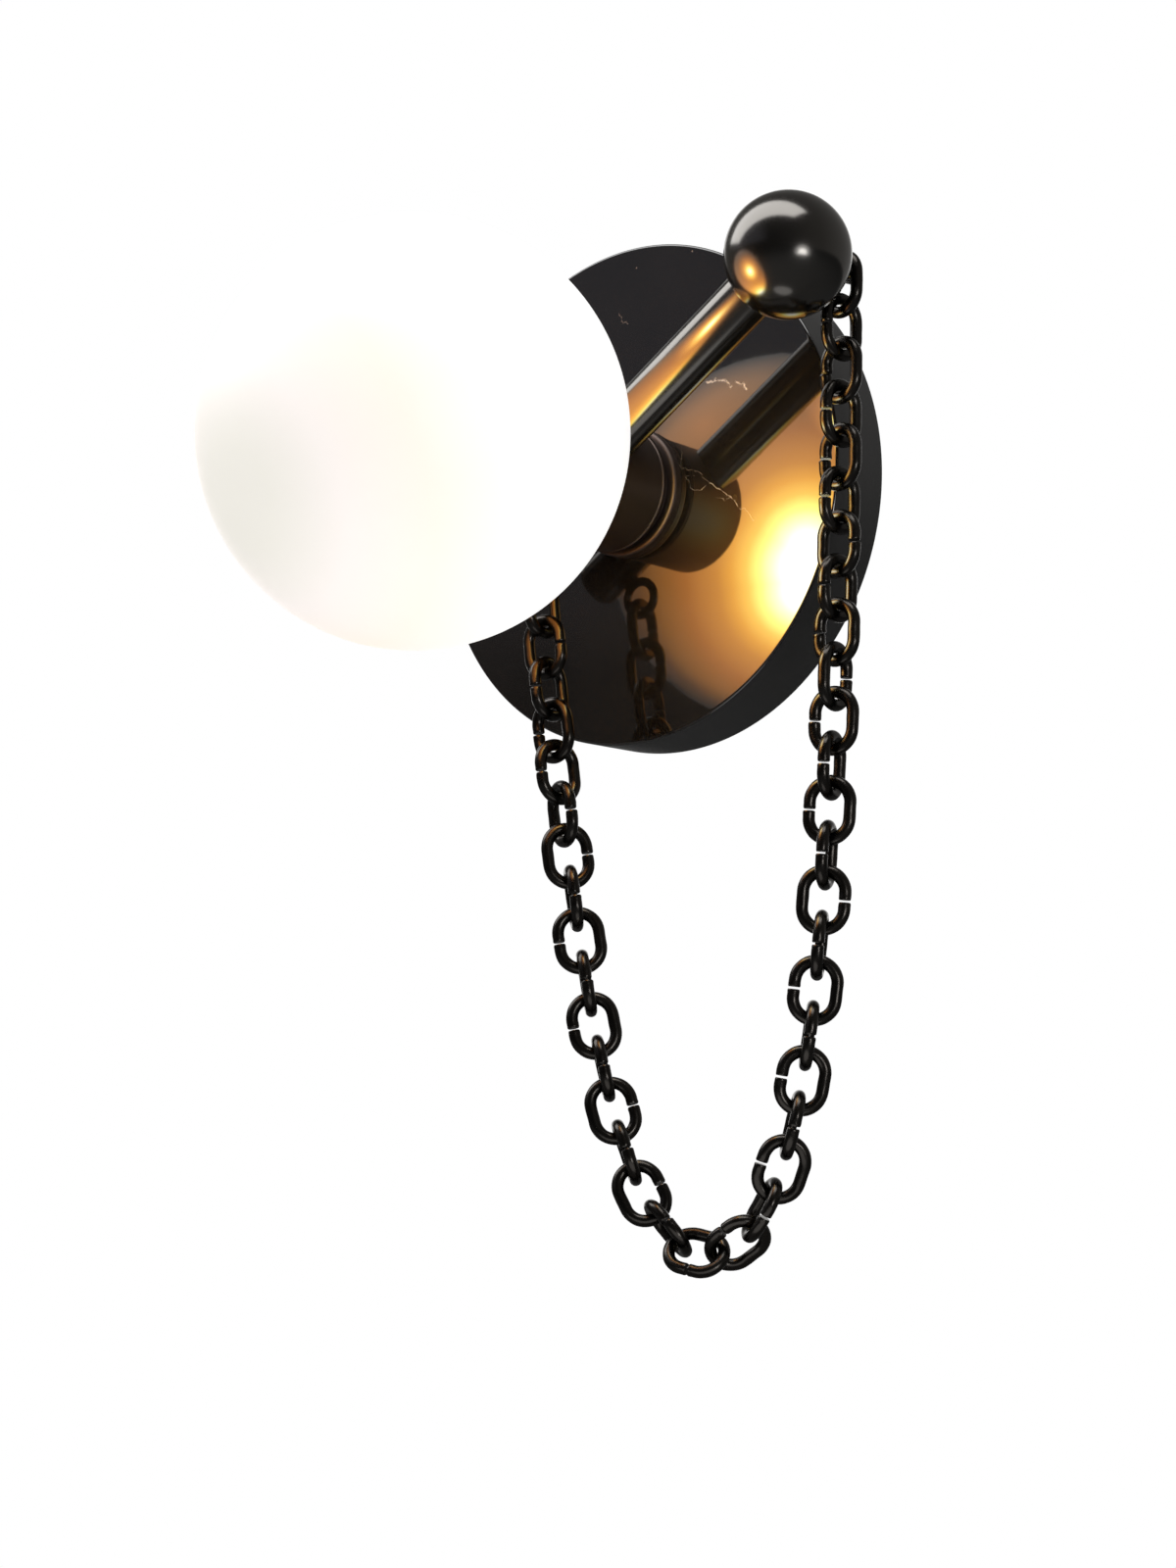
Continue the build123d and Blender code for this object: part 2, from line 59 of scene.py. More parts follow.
ON_AXIS = 1e-9
ORIGIN = (0.0, 0.0, 0.0)
Array = np.ndarray
Triple = tuple[float, float, float]
Stop = tuple[float, Triple]
Socket = bpy.types.NodeSocket
Feed = Union[Socket, float, Sequence[float]]


class Body(Enum):
    """The rigid bodies that new pieces ride on."""

    FIXTURE = "fixture"
    CHAIN = "chain"
    GLOBE = "globe"


class Slot(Enum):
    """The record's material slots."""

    STONE = "black_stone"
    NICKEL = "black_nickel"
    WIRE = "oxidised_bronze_wire"
    STEEL = "plated_steel"
    BRASS = "brass"
    NYLON = "white_nylon"
    RUBBER = "black_rubber"
    GASKET = "clear_gasket"
    CERAMIC = "white_ceramic"
    LAMP_GLASS = "clear_lamp_glass"
    PHOSPHOR = "lamp_phosphor"
    OPAL = "opal_glass"


# ------------------------------------------------------------------ surfaces
@dataclass(frozen=True)
class Axes:
    """An origin and three unit directions that a shape is worked out on, in millimetres."""

    origin: Array
    side: Array
    up: Array
    along: Array

    def put(self, side: Array, up: Array, along: Array) -> Array:
        """Points from three coordinates: origin + side * S + up * U + along * A.

        Args:
            side: Distances along the side direction.
            up: Distances along the up direction.
            along: Distances along the main direction.

        Returns:
            The points, with one more axis of length three.
        """
        return (
            self.origin
            + side[..., None] * self.side
            + up[..., None] * self.up
            + along[..., None] * self.along
        )


def unit(vector: Sequence[float]) -> Array:
    """A vector of length one."""
    array = np.asarray(vector, float)
    return array / np.linalg.norm(array)


def axes_along(origin: Sequence[float], along: Sequence[float]) -> Axes:
    """Axes whose main direction is given, with the side direction as level as it can be.

    Args:
        origin: The origin, in millimetres.
        along: The main direction.

    Returns:
        Right-handed axes.
    """
    main = unit(along)
    guide = np.array([0.0, 1.0, 0.0]) if abs(main[1]) < 0.9 else np.array([1.0, 0.0, 0.0])
    side = unit(np.cross(guide, main))
    return Axes(np.asarray(origin, float), side, np.cross(main, side), main)


LAMP_AXES = Axes(
    np.zeros(3),
    np.array([1.0, 0.0, 0.0]),
    np.array([0.0, 0.0, 1.0]),
    np.array([0.0, -1.0, 0.0]),
)


def rounded(corners: Sequence[Triple], steps: int = 6, closed: bool = True) -> Array:
    """An outline with its corners turned into arcs.

    A corner with radius R is replaced by an arc that leaves both sides at R * tan(turn / 2) from
    the corner, with one support point just outside each end so that flat faces stay flat.

    Args:
        corners: Points as (x, y, corner radius).
        steps: Segments in each arc.
        closed: Whether the outline joins up with itself.

    Returns:
        The outline's points.
    """
    points = np.array([corner[:2] for corner in corners], float)
    outline: list[Array] = []
    count = len(points)
    for index, corner in enumerate(corners):
        here, radius = points[index], corner[2]
        if radius <= 0 or (not closed and index in (0, count - 1)):
            outline.append(here[None])
            continue
        back = unit(points[index - 1] - here)
        ahead = unit(points[(index + 1) % count] - here)
        half = math.acos(float(np.clip(back @ ahead, -1, 1))) / 2
        reach = radius / math.tan(half)
        centre = here + unit(back + ahead) * radius / math.sin(half)
        first, last = here + back * reach - centre, here + ahead * reach - centre
        share = np.linspace(0, 1, steps + 1)[:, None]
        sweep = math.pi - 2 * half
        arc = (np.sin((1 - share) * sweep) * first + np.sin(share * sweep) * last) / math.sin(sweep)
        support = SUPPORT_SHARE * radius + SUPPORT_LEAST
        outline.append((here + back * (reach + support))[None])
        outline.append(centre + arc)
        outline.append((here + ahead * (reach + support))[None])
    return np.concatenate(outline)


def grid_quads(rows: int, columns: int, wrap_rows: bool) -> Array:
    """Quads between neighbouring points of a grid stored row by row, with each row a ring.

    Args:
        rows: Number of rows.
        columns: Number of columns.
        wrap_rows: Whether the last row joins the first.

    Returns:
        Indices of shape (quads, 4).
    """
    row = np.arange(rows if wrap_rows else rows - 1)[:, None]
    column = np.arange(columns)[None, :]
    below, right = (row + 1) % rows, (column + 1) % columns
    corners = (
        row * columns + column,
        row * columns + right,
        below * columns + right,
        below * columns + column,
    )
    shape = (row.size, column.size)
    return np.stack([np.broadcast_to(c, shape) for c in corners], -1).reshape(-1, 4)


@dataclass
class Shell:
    """Points and faces of one closed surface, in millimetres, and its wear from 0 to 1."""

    points: Array
    quads: Array
    triangles: Array = field(default_factory=lambda: np.zeros((0, 3), int))
    wear: Array | None = None

    def volume(self) -> float:
        """The signed volume, positive where faces point outwards."""
        tris = np.concatenate([self.quads[:, [0, 1, 2]], self.quads[:, [0, 2, 3]], self.triangles])
        a, b, c = (self.points[tris[:, k]] for k in range(3))
        return float(np.einsum("ij,ij->i", a, np.cross(b, c)).sum() / 6)

    def outward(self) -> Shell:
        """The same surface with its faces pointing outwards."""
        if self.volume() < 0:
            self.quads = self.quads[:, ::-1]
            self.triangles = self.triangles[:, ::-1]
        return self


def grid_shell(points: Array, wrap_rows: bool = False, capped: bool = False) -> Shell:
    """A closed surface from a grid whose columns go all the way round.

    Args:
        points: Grid of shape (rows, columns, 3).
        wrap_rows: Whether the last row joins the first, as on a ring.
        capped: Whether each open end is closed by a fan round the middle of its row.

    Returns:
        The surface, with its faces outwards.
    """
    rows, columns = points.shape[:2]
    quads = grid_quads(rows, columns, wrap_rows)
    flat = points.reshape(-1, 3)
    if not capped:
        return Shell(flat, quads).outward()
    middles = np.stack([points[0].mean(0), points[-1].mean(0)])
    step = np.arange(columns)
    after = (step + 1) % columns
    first = np.stack([np.full(columns, rows * columns), after, step], -1)
    base = (rows - 1) * columns
    last = np.stack([np.full(columns, rows * columns + 1), base + step, base + after], -1)
    return Shell(np.concatenate([flat, middles]), quads, np.concatenate([first, last])).outward()


def lathe(axes: Axes, outline: Array, segments: int) -> Shell:
    """A surface of revolution: each outline point (R, A) becomes a circle of radius R at A.

    Args:
        axes: The axes to turn about; the main direction is the axis.
        outline: Points as (radius, distance along). A radius of zero at both ends makes poles,
            and any other outline is a loop.
        segments: Points round each circle.

    Returns:
        The closed surface.
    """
    turn = np.linspace(0, 2 * np.pi, segments, endpoint=False)
    poles = max(outline[0, 0], outline[-1, 0]) < ON_AXIS
    rings = outline[1:-1] if poles else outline
    radius, height = rings[:, :1], np.repeat(rings[:, 1:], segments, 1)
    grid = axes.put(radius * np.cos(turn), radius * np.sin(turn), height)
    shell = grid_shell(grid, wrap_rows=not poles, capped=poles)
    if poles:
        ends = np.array([outline[0, 1], outline[-1, 1]])
        shell.points[-2:] = axes.put(np.zeros(2), np.zeros(2), ends)
        shell.outward()
    return shell


def joined(shells: Sequence[Shell]) -> Shell:
    """Several surfaces, each with its wear, as one mesh's points and faces.

    Args:
        shells: The surfaces.

    Returns:
        One surface that holds them all.
    """
    starts = np.cumsum([0] + [len(shell.points) for shell in shells[:-1]])
    return Shell(
        np.concatenate([shell.points for shell in shells]),
        np.concatenate([shell.quads + start for shell, start in zip(shells, starts)]),
        np.concatenate([shell.triangles + start for shell, start in zip(shells, starts)]),
        np.concatenate([shell.wear for shell in shells]),
    )


def add_piece(
    name: str,
    shell: Shell,
    material: bpy.types.Material,
    body: Body,
    node: str,
) -> None:
    """Writes a surface to a mesh object that rides on a body and stands for a CAD node.

    Args:
        name: The piece's name.
        shell: The surface, in millimetres.
        material: Its finish.
        body: The body it moves with.
        node: The CAD node that it stands for.
    """
    mesh = bpy.data.meshes.new(name)
    faces = shell.quads.tolist() + shell.triangles.tolist()
    mesh.from_pydata((shell.points * MM).tolist(), [], faces)
    mesh.polygons.foreach_set("use_smooth", np.ones(len(mesh.polygons), bool))
    mesh.set_sharp_from_angle(angle=math.radians(SHARP_ANGLE))
    if shell.wear is not None:
        attribute = mesh.attributes.new("wear", "FLOAT", "POINT")
        attribute.data.foreach_set("value", shell.wear.astype(np.float32))
    mesh.materials.append(material)
    mesh.update()
    piece = bpy.data.objects.new(name, mesh)
    bpy.context.scene.collection.objects.link(piece)
    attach(piece, body.value)
    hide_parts(node)
    LOG.info("%s: %d points, for %s", name, len(shell.points), node)


# ------------------------------------------------------------------ shader effects
class Tree:
    """Short ways to add nodes to a node tree."""

    def __init__(self, tree: bpy.types.NodeTree) -> None:
        """Keeps the tree that nodes are added to."""
        self.tree = tree
        self.nodes = tree.nodes

    def link(self, source: Socket, target: Socket) -> None:
        """Joins two sockets."""
        self.tree.links.new(source, target)

    def feed(self, target: Socket, value: Feed) -> None:
        """Gives a socket a link where the value is a socket, and its default value otherwise."""
        if isinstance(value, Socket):
            self.link(value, target)
        else:
            target.default_value = value

    def math(self, kind: str, a: Feed, b: Feed = 0.0, clamp: bool = False) -> Socket:
        """A Math node's result."""
        node = self.nodes.new("ShaderNodeMath")
        node.operation, node.use_clamp = kind, clamp
        self.feed(node.inputs[0], a)
        self.feed(node.inputs[1], b)
        return node.outputs[0]

    def line(self, value: Feed, gain: Feed, offset: Feed, clamp: bool = False) -> Socket:
        """A value on a straight line: value * gain + offset."""
        return self.math("ADD", self.math("MULTIPLY", value, gain), offset, clamp)

    def above(self, value: Feed, low: Feed, gain: Feed) -> Socket:
        """How far a value is above a limit: (value - low) * gain, kept between 0 and 1."""
        return self.math("MULTIPLY", self.math("SUBTRACT", value, low), gain, clamp=True)

    def vector(self, kind: str, a: Feed, b: Feed = ORIGIN, output: str = "Vector") -> Socket:
        """A Vector Math node's output, with the second value as the factor where it scales."""
        node = self.nodes.new("ShaderNodeVectorMath")
        node.operation = kind
        self.feed(node.inputs[0], a)
        self.feed(node.inputs["Scale" if kind == "SCALE" else 1], b)
        return node.outputs[output]

    def dot(self, a: Feed, b: Feed) -> Socket:
        """The dot product of two vectors."""
        return self.vector("DOT_PRODUCT", a, b, "Value")

    def part_along(self, a: Feed, direction: Sequence[float]) -> Socket:
        """The part of a vector that lies along a direction."""
        return self.dot(a, tuple(unit(direction)))

    def length(self, a: Feed) -> Socket:
        """A vector's length."""
        return self.vector("LENGTH", a, output="Value")

    def noise(self, vector: Feed, scale: Feed, detail: float, output: str = "Fac") -> Socket:
        """A noise texture's output."""
        node = self.nodes.new("ShaderNodeTexNoise")
        self.feed(node.inputs["Vector"], vector)
        self.feed(node.inputs["Scale"], scale)
        node.inputs["Detail"].default_value = detail
        return node.outputs[output]

    def cells(self, vector: Feed, scale: float, output: str) -> Socket:
        """A Voronoi texture's output."""
        node = self.nodes.new("ShaderNodeTexVoronoi")
        self.feed(node.inputs["Vector"], vector)
        node.inputs["Scale"].default_value = scale
        return node.outputs[output]

    def ramp(self, value: Feed, stops: Sequence[Stop]) -> Socket:
        """A colour ramp's colour.

        Args:
            value: What is looked up on the ramp.
            stops: The ramp's stops as (place, colour), in rising order.

        Returns:
            The colour's socket.
        """
        node = self.nodes.new("ShaderNodeValToRGB")
        elements = node.color_ramp.elements
        while len(elements) < len(stops):
            elements.new(0.5)
        for element, (place, colour) in zip(elements, stops):
            element.position = place
            element.color = (*colour, 1.0)
        self.feed(node.inputs[0], value)
        return node.outputs[0]

    def mix(self, share: Feed, a: Feed, b: Feed) -> Socket:
        """A mix of two colours."""
        node = self.nodes.new("ShaderNodeMix")
        node.data_type = "RGBA"
        self.feed(node.inputs[0], share)
        for place, colour in ((6, a), (7, b)):
            self.feed(node.inputs[place], colour if isinstance(colour, Socket) else (*colour, 1.0))
        return node.outputs[2]

    def blend(self, share: Feed, a: Feed, b: Feed) -> Socket:
        """A mix of two numbers."""
        node = self.nodes.new("ShaderNodeMix")
        self.feed(node.inputs[0], share)
        self.feed(node.inputs[2], a)
        self.feed(node.inputs[3], b)
        return node.outputs[0]

    def choose(self, share: Feed, a: Socket, b: Socket) -> Socket:
        """A mix of two shaders."""
        node = self.nodes.new("ShaderNodeMixShader")
        for socket, value in zip(node.inputs, (share, a, b)):
            self.feed(socket, value)
        return node.outputs[0]

    def group(self, group: bpy.types.NodeTree, **values: Feed) -> bpy.types.Node:
        """A group node with its inputs set by name."""
        node = self.nodes.new("ShaderNodeGroup")
        node.node_tree = group
        for label, value in values.items():
            self.feed(node.inputs[label], value)
        return node

    def place(self) -> Socket:
        """Object coordinates."""
        return self.nodes.new("ShaderNodeTexCoord").outputs["Object"]

    def attribute(self, name: str) -> Socket:
        """A mesh attribute's value."""
        node = self.nodes.new("ShaderNodeAttribute")
        node.attribute_name = name
        return node.outputs["Fac"]

    def bump(self, height: Feed, distance: float) -> Socket:
        """A normal from a height."""
        node = self.nodes.new("ShaderNodeBump")
        self.feed(node.inputs["Height"], height)
        node.inputs["Distance"].default_value = distance
        return node.outputs["Normal"]


class NodeGroups:
    """Shader effects that more than one finish or place uses, each built once."""

    slow_ratio: float = 12.0
    even_sum: float = 1.5

    def __init__(self) -> None:
        """Builds the groups."""
        self.grain = self._grain()
        self.rubbed = self._rubbed()
        self.vein = self._vein()

    @staticmethod
    def _new(
        name: str, inputs: dict[str, float | Triple], outputs: Sequence[str]
    ) -> tuple[bpy.types.ShaderNodeTree, bpy.types.Node, bpy.types.Node]:
        """A group with named sockets, and its two end nodes.

        Args:
            name: The group's name.
            inputs: Socket name to default value, where a triple makes a vector socket.
            outputs: The names of the values that it gives.

        Returns:
            The group, its input node and its output node.
        """
        group = bpy.data.node_groups.new(name, "ShaderNodeTree")
        for label, default in inputs.items():
            kind = "NodeSocketVector" if isinstance(default, tuple) else "NodeSocketFloat"
            socket = group.interface.new_socket(name=label, in_out="INPUT", socket_type=kind)
            socket.default_value = default
        for label in outputs:
            group.interface.new_socket(name=label, in_out="OUTPUT", socket_type="NodeSocketFloat")
        return group, group.nodes.new("NodeGroupInput"), group.nodes.new("NodeGroupOutput")

    def _grain(self) -> bpy.types.ShaderNodeTree:
        """Fine grain for bump and a slow cloud for tone: two noises at 1x and 1/12x the scale.

        Returns:
            The group.
        """
        inputs = {"Vector": ORIGIN, "Scale": 400.0}
        group, start, end = self._new("surface_grain", inputs, ("Height", "Tone"))
        tree = Tree(group)
        fine = tree.noise(start.outputs["Vector"], start.outputs["Scale"], detail=4)
        slow_scale = tree.math("DIVIDE", start.outputs["Scale"], self.slow_ratio)
        slow = tree.noise(start.outputs["Vector"], slow_scale, detail=3)
        tree.link(fine, end.inputs["Height"])
        tree.link(slow, end.inputs["Tone"])
        return group

    def _rubbed(self) -> bpy.types.ShaderNodeTree:
        """Where a finish is rubbed through: clamp(Sharpness * (Exposure + Patch - 1.5 + Amount)).

        Returns:
            The group.
        """
        inputs = {
            "Vector": ORIGIN,
            "Scale": 300.0,
            "Exposure": 0.5,
            "Amount": 0.5,
            "Sharpness": 4.0,
        }
        group, start, end = self._new("rubbed_edges", inputs, ("Mask",))
        tree = Tree(group)
        patch = tree.noise(start.outputs["Vector"], start.outputs["Scale"], detail=5)
        total = tree.math("ADD", start.outputs["Exposure"], patch)
        total = tree.math("ADD", total, start.outputs["Amount"])
        mask = tree.above(total, self.even_sum, start.outputs["Sharpness"])
        tree.link(mask, end.inputs["Mask"])
        return group

    def _vein(self) -> bpy.types.ShaderNodeTree:
        """A thin line between two points: 1 - distance to the segment / Width, not below 0.

        Returns:
            The group.
        """
        inputs = {"Vector": ORIGIN, "Start": ORIGIN, "End": (0.0, 0.0, 0.01), "Width": 0.0004}
        group, start, end = self._new("pale_vein", inputs, ("Mask",))
        tree = Tree(group)
        run = tree.vector("SUBTRACT", start.outputs["End"], start.outputs["Start"])
        offset = tree.vector("SUBTRACT", start.outputs["Vector"], start.outputs["Start"])
        share = tree.math("DIVIDE", tree.dot(offset, run), tree.dot(run, run), clamp=True)
        distance = tree.length(tree.vector("SUBTRACT", offset, tree.vector("SCALE", run, share)))
        near = tree.math("DIVIDE", distance, start.outputs["Width"])
        tree.link(tree.math("SUBTRACT", 1.0, near, clamp=True), end.inputs["Mask"])
        return group


def new_material(name: str) -> tuple[bpy.types.Material, Tree, bpy.types.Node]:
    """A node material, its tree and its Principled shader."""
    material = bpy.data.materials.new(name)
    material.use_nodes = True
    return material, Tree(material.node_tree), material.node_tree.nodes["Principled BSDF"]


def shade(colour: Triple, share: float) -> Triple:
    """A colour times a number."""
    return tuple(channel * share for channel in colour)


# ------------------------------------------------------------------ finishes
@dataclass(frozen=True)
class MetalFinish:
    """A plated or bare metal with a cloudy tone, faint grain and rubbed places.

    Spreads are shares of the tone and steps of the roughness, the rubbed scale is a share of the
    grain's, and depths are in metres. By attribute, the mesh's wear says where it is rubbed.
    """

    name: str
    colour: Triple
    rubbed_colour: Triple
    roughness: float
    roughness_spread: float = 0.06
    rubbed_roughness: float = 0.3
    rubbed_amount: float = 0.2
    rubbed_scale: float = 0.5
    sharpness: float = 3.0
    tone_spread: float = 0.25
    grain_scale: float = 500.0
    grain_depth: float = 0.00001
    even_exposure: float = 0.5
    by_attribute: bool = False

    def material(self, groups: NodeGroups) -> bpy.types.Material:
        """Builds the material.

        Args:
            groups: The shared shader effects.

        Returns:
            The material.
        """
        material, tree, shader = new_material(self.name)
        place = tree.place()
        grain = tree.group(groups.grain, Vector=place, Scale=self.grain_scale)
        rubbed = tree.group(
            groups.rubbed,
            Vector=place,
            Scale=self.grain_scale * self.rubbed_scale,
            Exposure=tree.attribute("wear") if self.by_attribute else self.even_exposure,
            Amount=self.rubbed_amount,
            Sharpness=self.sharpness,
        ).outputs["Mask"]
        darker = shade(self.colour, 1 - self.tone_spread)
        lighter = shade(self.colour, 1 + self.tone_spread)
        tone = tree.mix(grain.outputs["Tone"], darker, lighter)
        tree.link(tree.mix(rubbed, tone, self.rubbed_colour), shader.inputs["Base Color"])
        least = self.roughness - self.roughness_spread / 2
        plain = tree.line(grain.outputs["Tone"], self.roughness_spread, least)
        rough = tree.blend(rubbed, plain, self.rubbed_roughness)
        tree.link(rough, shader.inputs["Roughness"])
        tree.link(tree.bump(grain.outputs["Height"], self.grain_depth), shader.inputs["Normal"])
        shader.inputs["Metallic"].default_value = 1.0
        return material


@dataclass(frozen=True)
class PlainFinish:
    """Plastic, rubber, ceramic or clear glass: one colour with a slow tone and a fine grain."""

    name: str
    colour: Triple
    roughness: float
    roughness_spread: float = 0.1
    tone_spread: float = 0.08
    grain_scale: float = 600.0
    grain_depth: float = 0.00001
    coat: float = 0.0
    glow: float = 0.0
    transmission: float = 0.0

    def material(self, groups: NodeGroups) -> bpy.types.Material:
        """Builds the material.

        Args:
            groups: The shared shader effects.

        Returns:
            The material.
        """
        material, tree, shader = new_material(self.name)
        grain = tree.group(groups.grain, Vector=tree.place(), Scale=self.grain_scale)
        darker = shade(self.colour, 1 - self.tone_spread)
        tree.link(tree.mix(grain.outputs["Tone"], darker, self.colour), shader.inputs["Base Color"])
        least = self.roughness - self.roughness_spread / 2
        rough = tree.line(grain.outputs["Tone"], self.roughness_spread, least)
        tree.link(rough, shader.inputs["Roughness"])
        tree.link(tree.bump(grain.outputs["Height"], self.grain_depth), shader.inputs["Normal"])
        shader.inputs["Coat Weight"].default_value = self.coat
        shader.inputs["Transmission Weight"].default_value = self.transmission
        if self.glow:
            shader.inputs["Emission Color"].default_value = (*self.colour, 1.0)
            shader.inputs["Emission Strength"].default_value = self.glow
        return material


@dataclass(frozen=True)
class Vein:
    """One pale vein on the plate's face, as a run of points (x, z) in millimetres."""

    points: tuple[tuple[float, float], ...]
    width: float
    strength: float


@dataclass(frozen=True)
class StoneFinish:
    """Near-black stone, polished on its face and honed on its rim, with pale veins and specks.

    The polished face leans by a hair and swells faintly, which moves and bends what it mirrors.
    The waver moves the veins, and the breaks interrupt them. Sizes are in millimetres, the bump's
    depth is in metres, and a scale is in cells per metre.
    """

    name: str = "polished_black_stone"
    colour: Triple = (0.0046, 0.0038, 0.0032)
    cloud: Triple = (0.0085, 0.0071, 0.0060)
    cloud_scale: float = 30.0
    cloud_places: tuple[float, float] = (0.35, 0.75)
    pale: Triple = (0.62, 0.52, 0.44)
    rim: Triple = (0.0050, 0.0046, 0.0042)
    rim_tones: tuple[float, float] = (0.75, 1.3)
    rim_grain: float = 900.0
    face_depth: float = 28.0
    face_lean: Triple = (0.045, 0.0, -0.0134)
    face_roughness: float = 0.045
    cloud_roughness: float = 0.02
    vein_roughness: float = 0.12
    rim_roughness: float = 0.50
    refraction: float = 1.95
    ripple: float = 0.5
    ripple_scale: float = 90.0
    bump_depth: float = 0.00003
    waver: float = 3.4
    waver_scale: float = 420.0
    break_scale: float = 520.0
    break_start: float = 0.34
    break_gain: float = 5.0
    speck_scale: float = 150.0
    speck_rarity: float = 0.955
    speck_size: float = 0.055
    speck_strength: float = 0.35
    veins: tuple[Vein, ...] = (
        Vein(((38.0, 35.2), (41.7, 35.2), (45.8, 34.6), (49.1, 31.2)), 0.62, 1.0),
        Vein(((51.0, 32.6), (54.1, 30.6), (56.0, 28.3)), 0.70, 1.0),
        Vein(((20.2, 8.8), (24.9, 5.1), (32.4, 2.0), (37.6, -3.3)), 0.15, 0.28),
        Vein(((37.6, -3.3), (42.2, -6.6), (46.8, -9.7), (50.0, -14.2)), 0.22, 0.55),
        Vein(((28.7, -3.2), (32.1, -4.7), (37.6, -3.3)), 0.16, 0.35),
        Vein(((28.7, -3.2), (26.5, 1.2), (30.3, 1.0)), 0.13, 0.22),
        Vein(((40.7, -9.3), (44.0, -10.8), (46.8, -9.7)), 0.15, 0.30),
        Vein(((50.0, -14.2), (54.5, -17.2), (57.0, -21.0)), 0.18, 0.40),
        Vein(((24.8, 13.5), (25.0, 7.9), (24.0, 2.0)), 0.14, 0.20),
        Vein(((-3.0, 71.0), (-1.0, 67.0), (1.5, 66.0)), 0.24, 0.30),
        Vein(((-64.0, 22.0), (-52.0, 34.0), (-46.0, 33.0), (-36.0, 45.0)), 0.24, 0.40),
        Vein(((-72.0, -20.0), (-60.0, -31.0), (-48.0, -34.0)), 0.24, 0.40),
    )

    def vein_mask(self, tree: Tree, groups: NodeGroups, place: Socket) -> Socket:
        """Every vein and speck as one mask.

        The veins are straight runs read at a place that a noise shifts by up to half the waver,
        and a second noise breaks them up. A speck is the middle of a rare Voronoi cell.

        Args:
            tree: The material's tree.
            groups: The shared shader effects.
            place: Object coordinates.

        Returns:
            The mask's socket.
        """
        sway = tree.noise(place, self.waver_scale, detail=5, output="Color")
        sway = tree.vector("SUBTRACT", sway, (0.5, 0.5, 0.5))
        sway = tree.vector("MULTIPLY", sway, (self.waver * MM, 0.0, self.waver * MM))
        shifted = tree.vector("ADD", place, sway)
        breaks = tree.noise(place, self.break_scale, detail=3)
        breaks = tree.above(breaks, self.break_start, self.break_gain)
        mask: Feed = 0.0
        depth = -self.face_depth * MM
        for vein in self.veins:
            for start, end in zip(vein.points[:-1], vein.points[1:]):
                line = tree.group(
                    groups.vein,
                    Vector=shifted,
                    Start=(start[0] * MM, depth, start[1] * MM),
                    End=(end[0] * MM, depth, end[1] * MM),
                    Width=vein.width * MM,
                ).outputs["Mask"]
                mask = tree.math("MAXIMUM", mask, tree.math("MULTIPLY", line, vein.strength))
        mask = tree.math("MULTIPLY", mask, breaks)
        chosen = tree.part_along(tree.cells(place, self.speck_scale, "Color"), (1.0, 0.0, 0.0))
        rare = tree.math("GREATER_THAN", chosen, self.speck_rarity)
        middle = tree.cells(place, self.speck_scale, "Distance")
        middle = tree.math("LESS_THAN", middle, self.speck_size)
        speck = tree.math("MULTIPLY", tree.math("MULTIPLY", middle, rare), self.speck_strength)
        return tree.math("MAXIMUM", mask, speck)

    def material(self, groups: NodeGroups) -> bpy.types.Material:
        """Builds the material, where the mesh's wear is 0 on the polished face and 1 off it.

        Args:
            groups: The shared shader effects.

        Returns:
            The material.
        """
        material, tree, shader = new_material(self.name)
        place = tree.place()
        cloud = tree.noise(place, self.cloud_scale, detail=6)
        base = tree.ramp(cloud, tuple(zip(self.cloud_places, (self.colour, self.cloud))))
        mask = self.vein_mask(tree, groups, place)
        face = tree.mix(mask, base, self.pale)
        grain = tree.group(groups.grain, Vector=place, Scale=self.rim_grain)
        edge = tree.attribute("wear")
        darker, lighter = (shade(self.rim, share) for share in self.rim_tones)
        rim_tone = tree.mix(grain.outputs["Tone"], darker, lighter)
        tree.link(tree.mix(edge, face, rim_tone), shader.inputs["Base Color"])
        least = self.face_roughness - self.cloud_roughness / 2
        polished = tree.line(cloud, self.cloud_roughness, least)
        polished = tree.math("ADD", polished, tree.math("MULTIPLY", mask, self.vein_roughness))
        tree.link(tree.blend(edge, polished, self.rim_roughness), shader.inputs["Roughness"])
        swell = tree.math("MULTIPLY", tree.noise(place, self.ripple_scale, detail=2), self.ripple)
        bump = tree.bump(tree.blend(edge, swell, grain.outputs["Height"]), self.bump_depth)
        lean = tree.vector("SCALE", self.face_lean, tree.math("SUBTRACT", 1.0, edge))
        plain = tree.nodes.new("ShaderNodeNewGeometry").outputs["Normal"]
        leaning = tree.vector("NORMALIZE", tree.vector("ADD", plain, lean))
        tree.link(leaning, bump.node.inputs["Normal"])
        tree.link(bump, shader.inputs["Normal"])
        shader.inputs["IOR"].default_value = self.refraction
        return material


@dataclass(frozen=True)
class HotPlace:
    """A direction from the globe's centre where the lamp shows brightest.

    Short is how far it stays below the brightest, steep how fast it fades around it.
    """

    way: Triple
    short: float = 0.0
    steep: float = 1.0


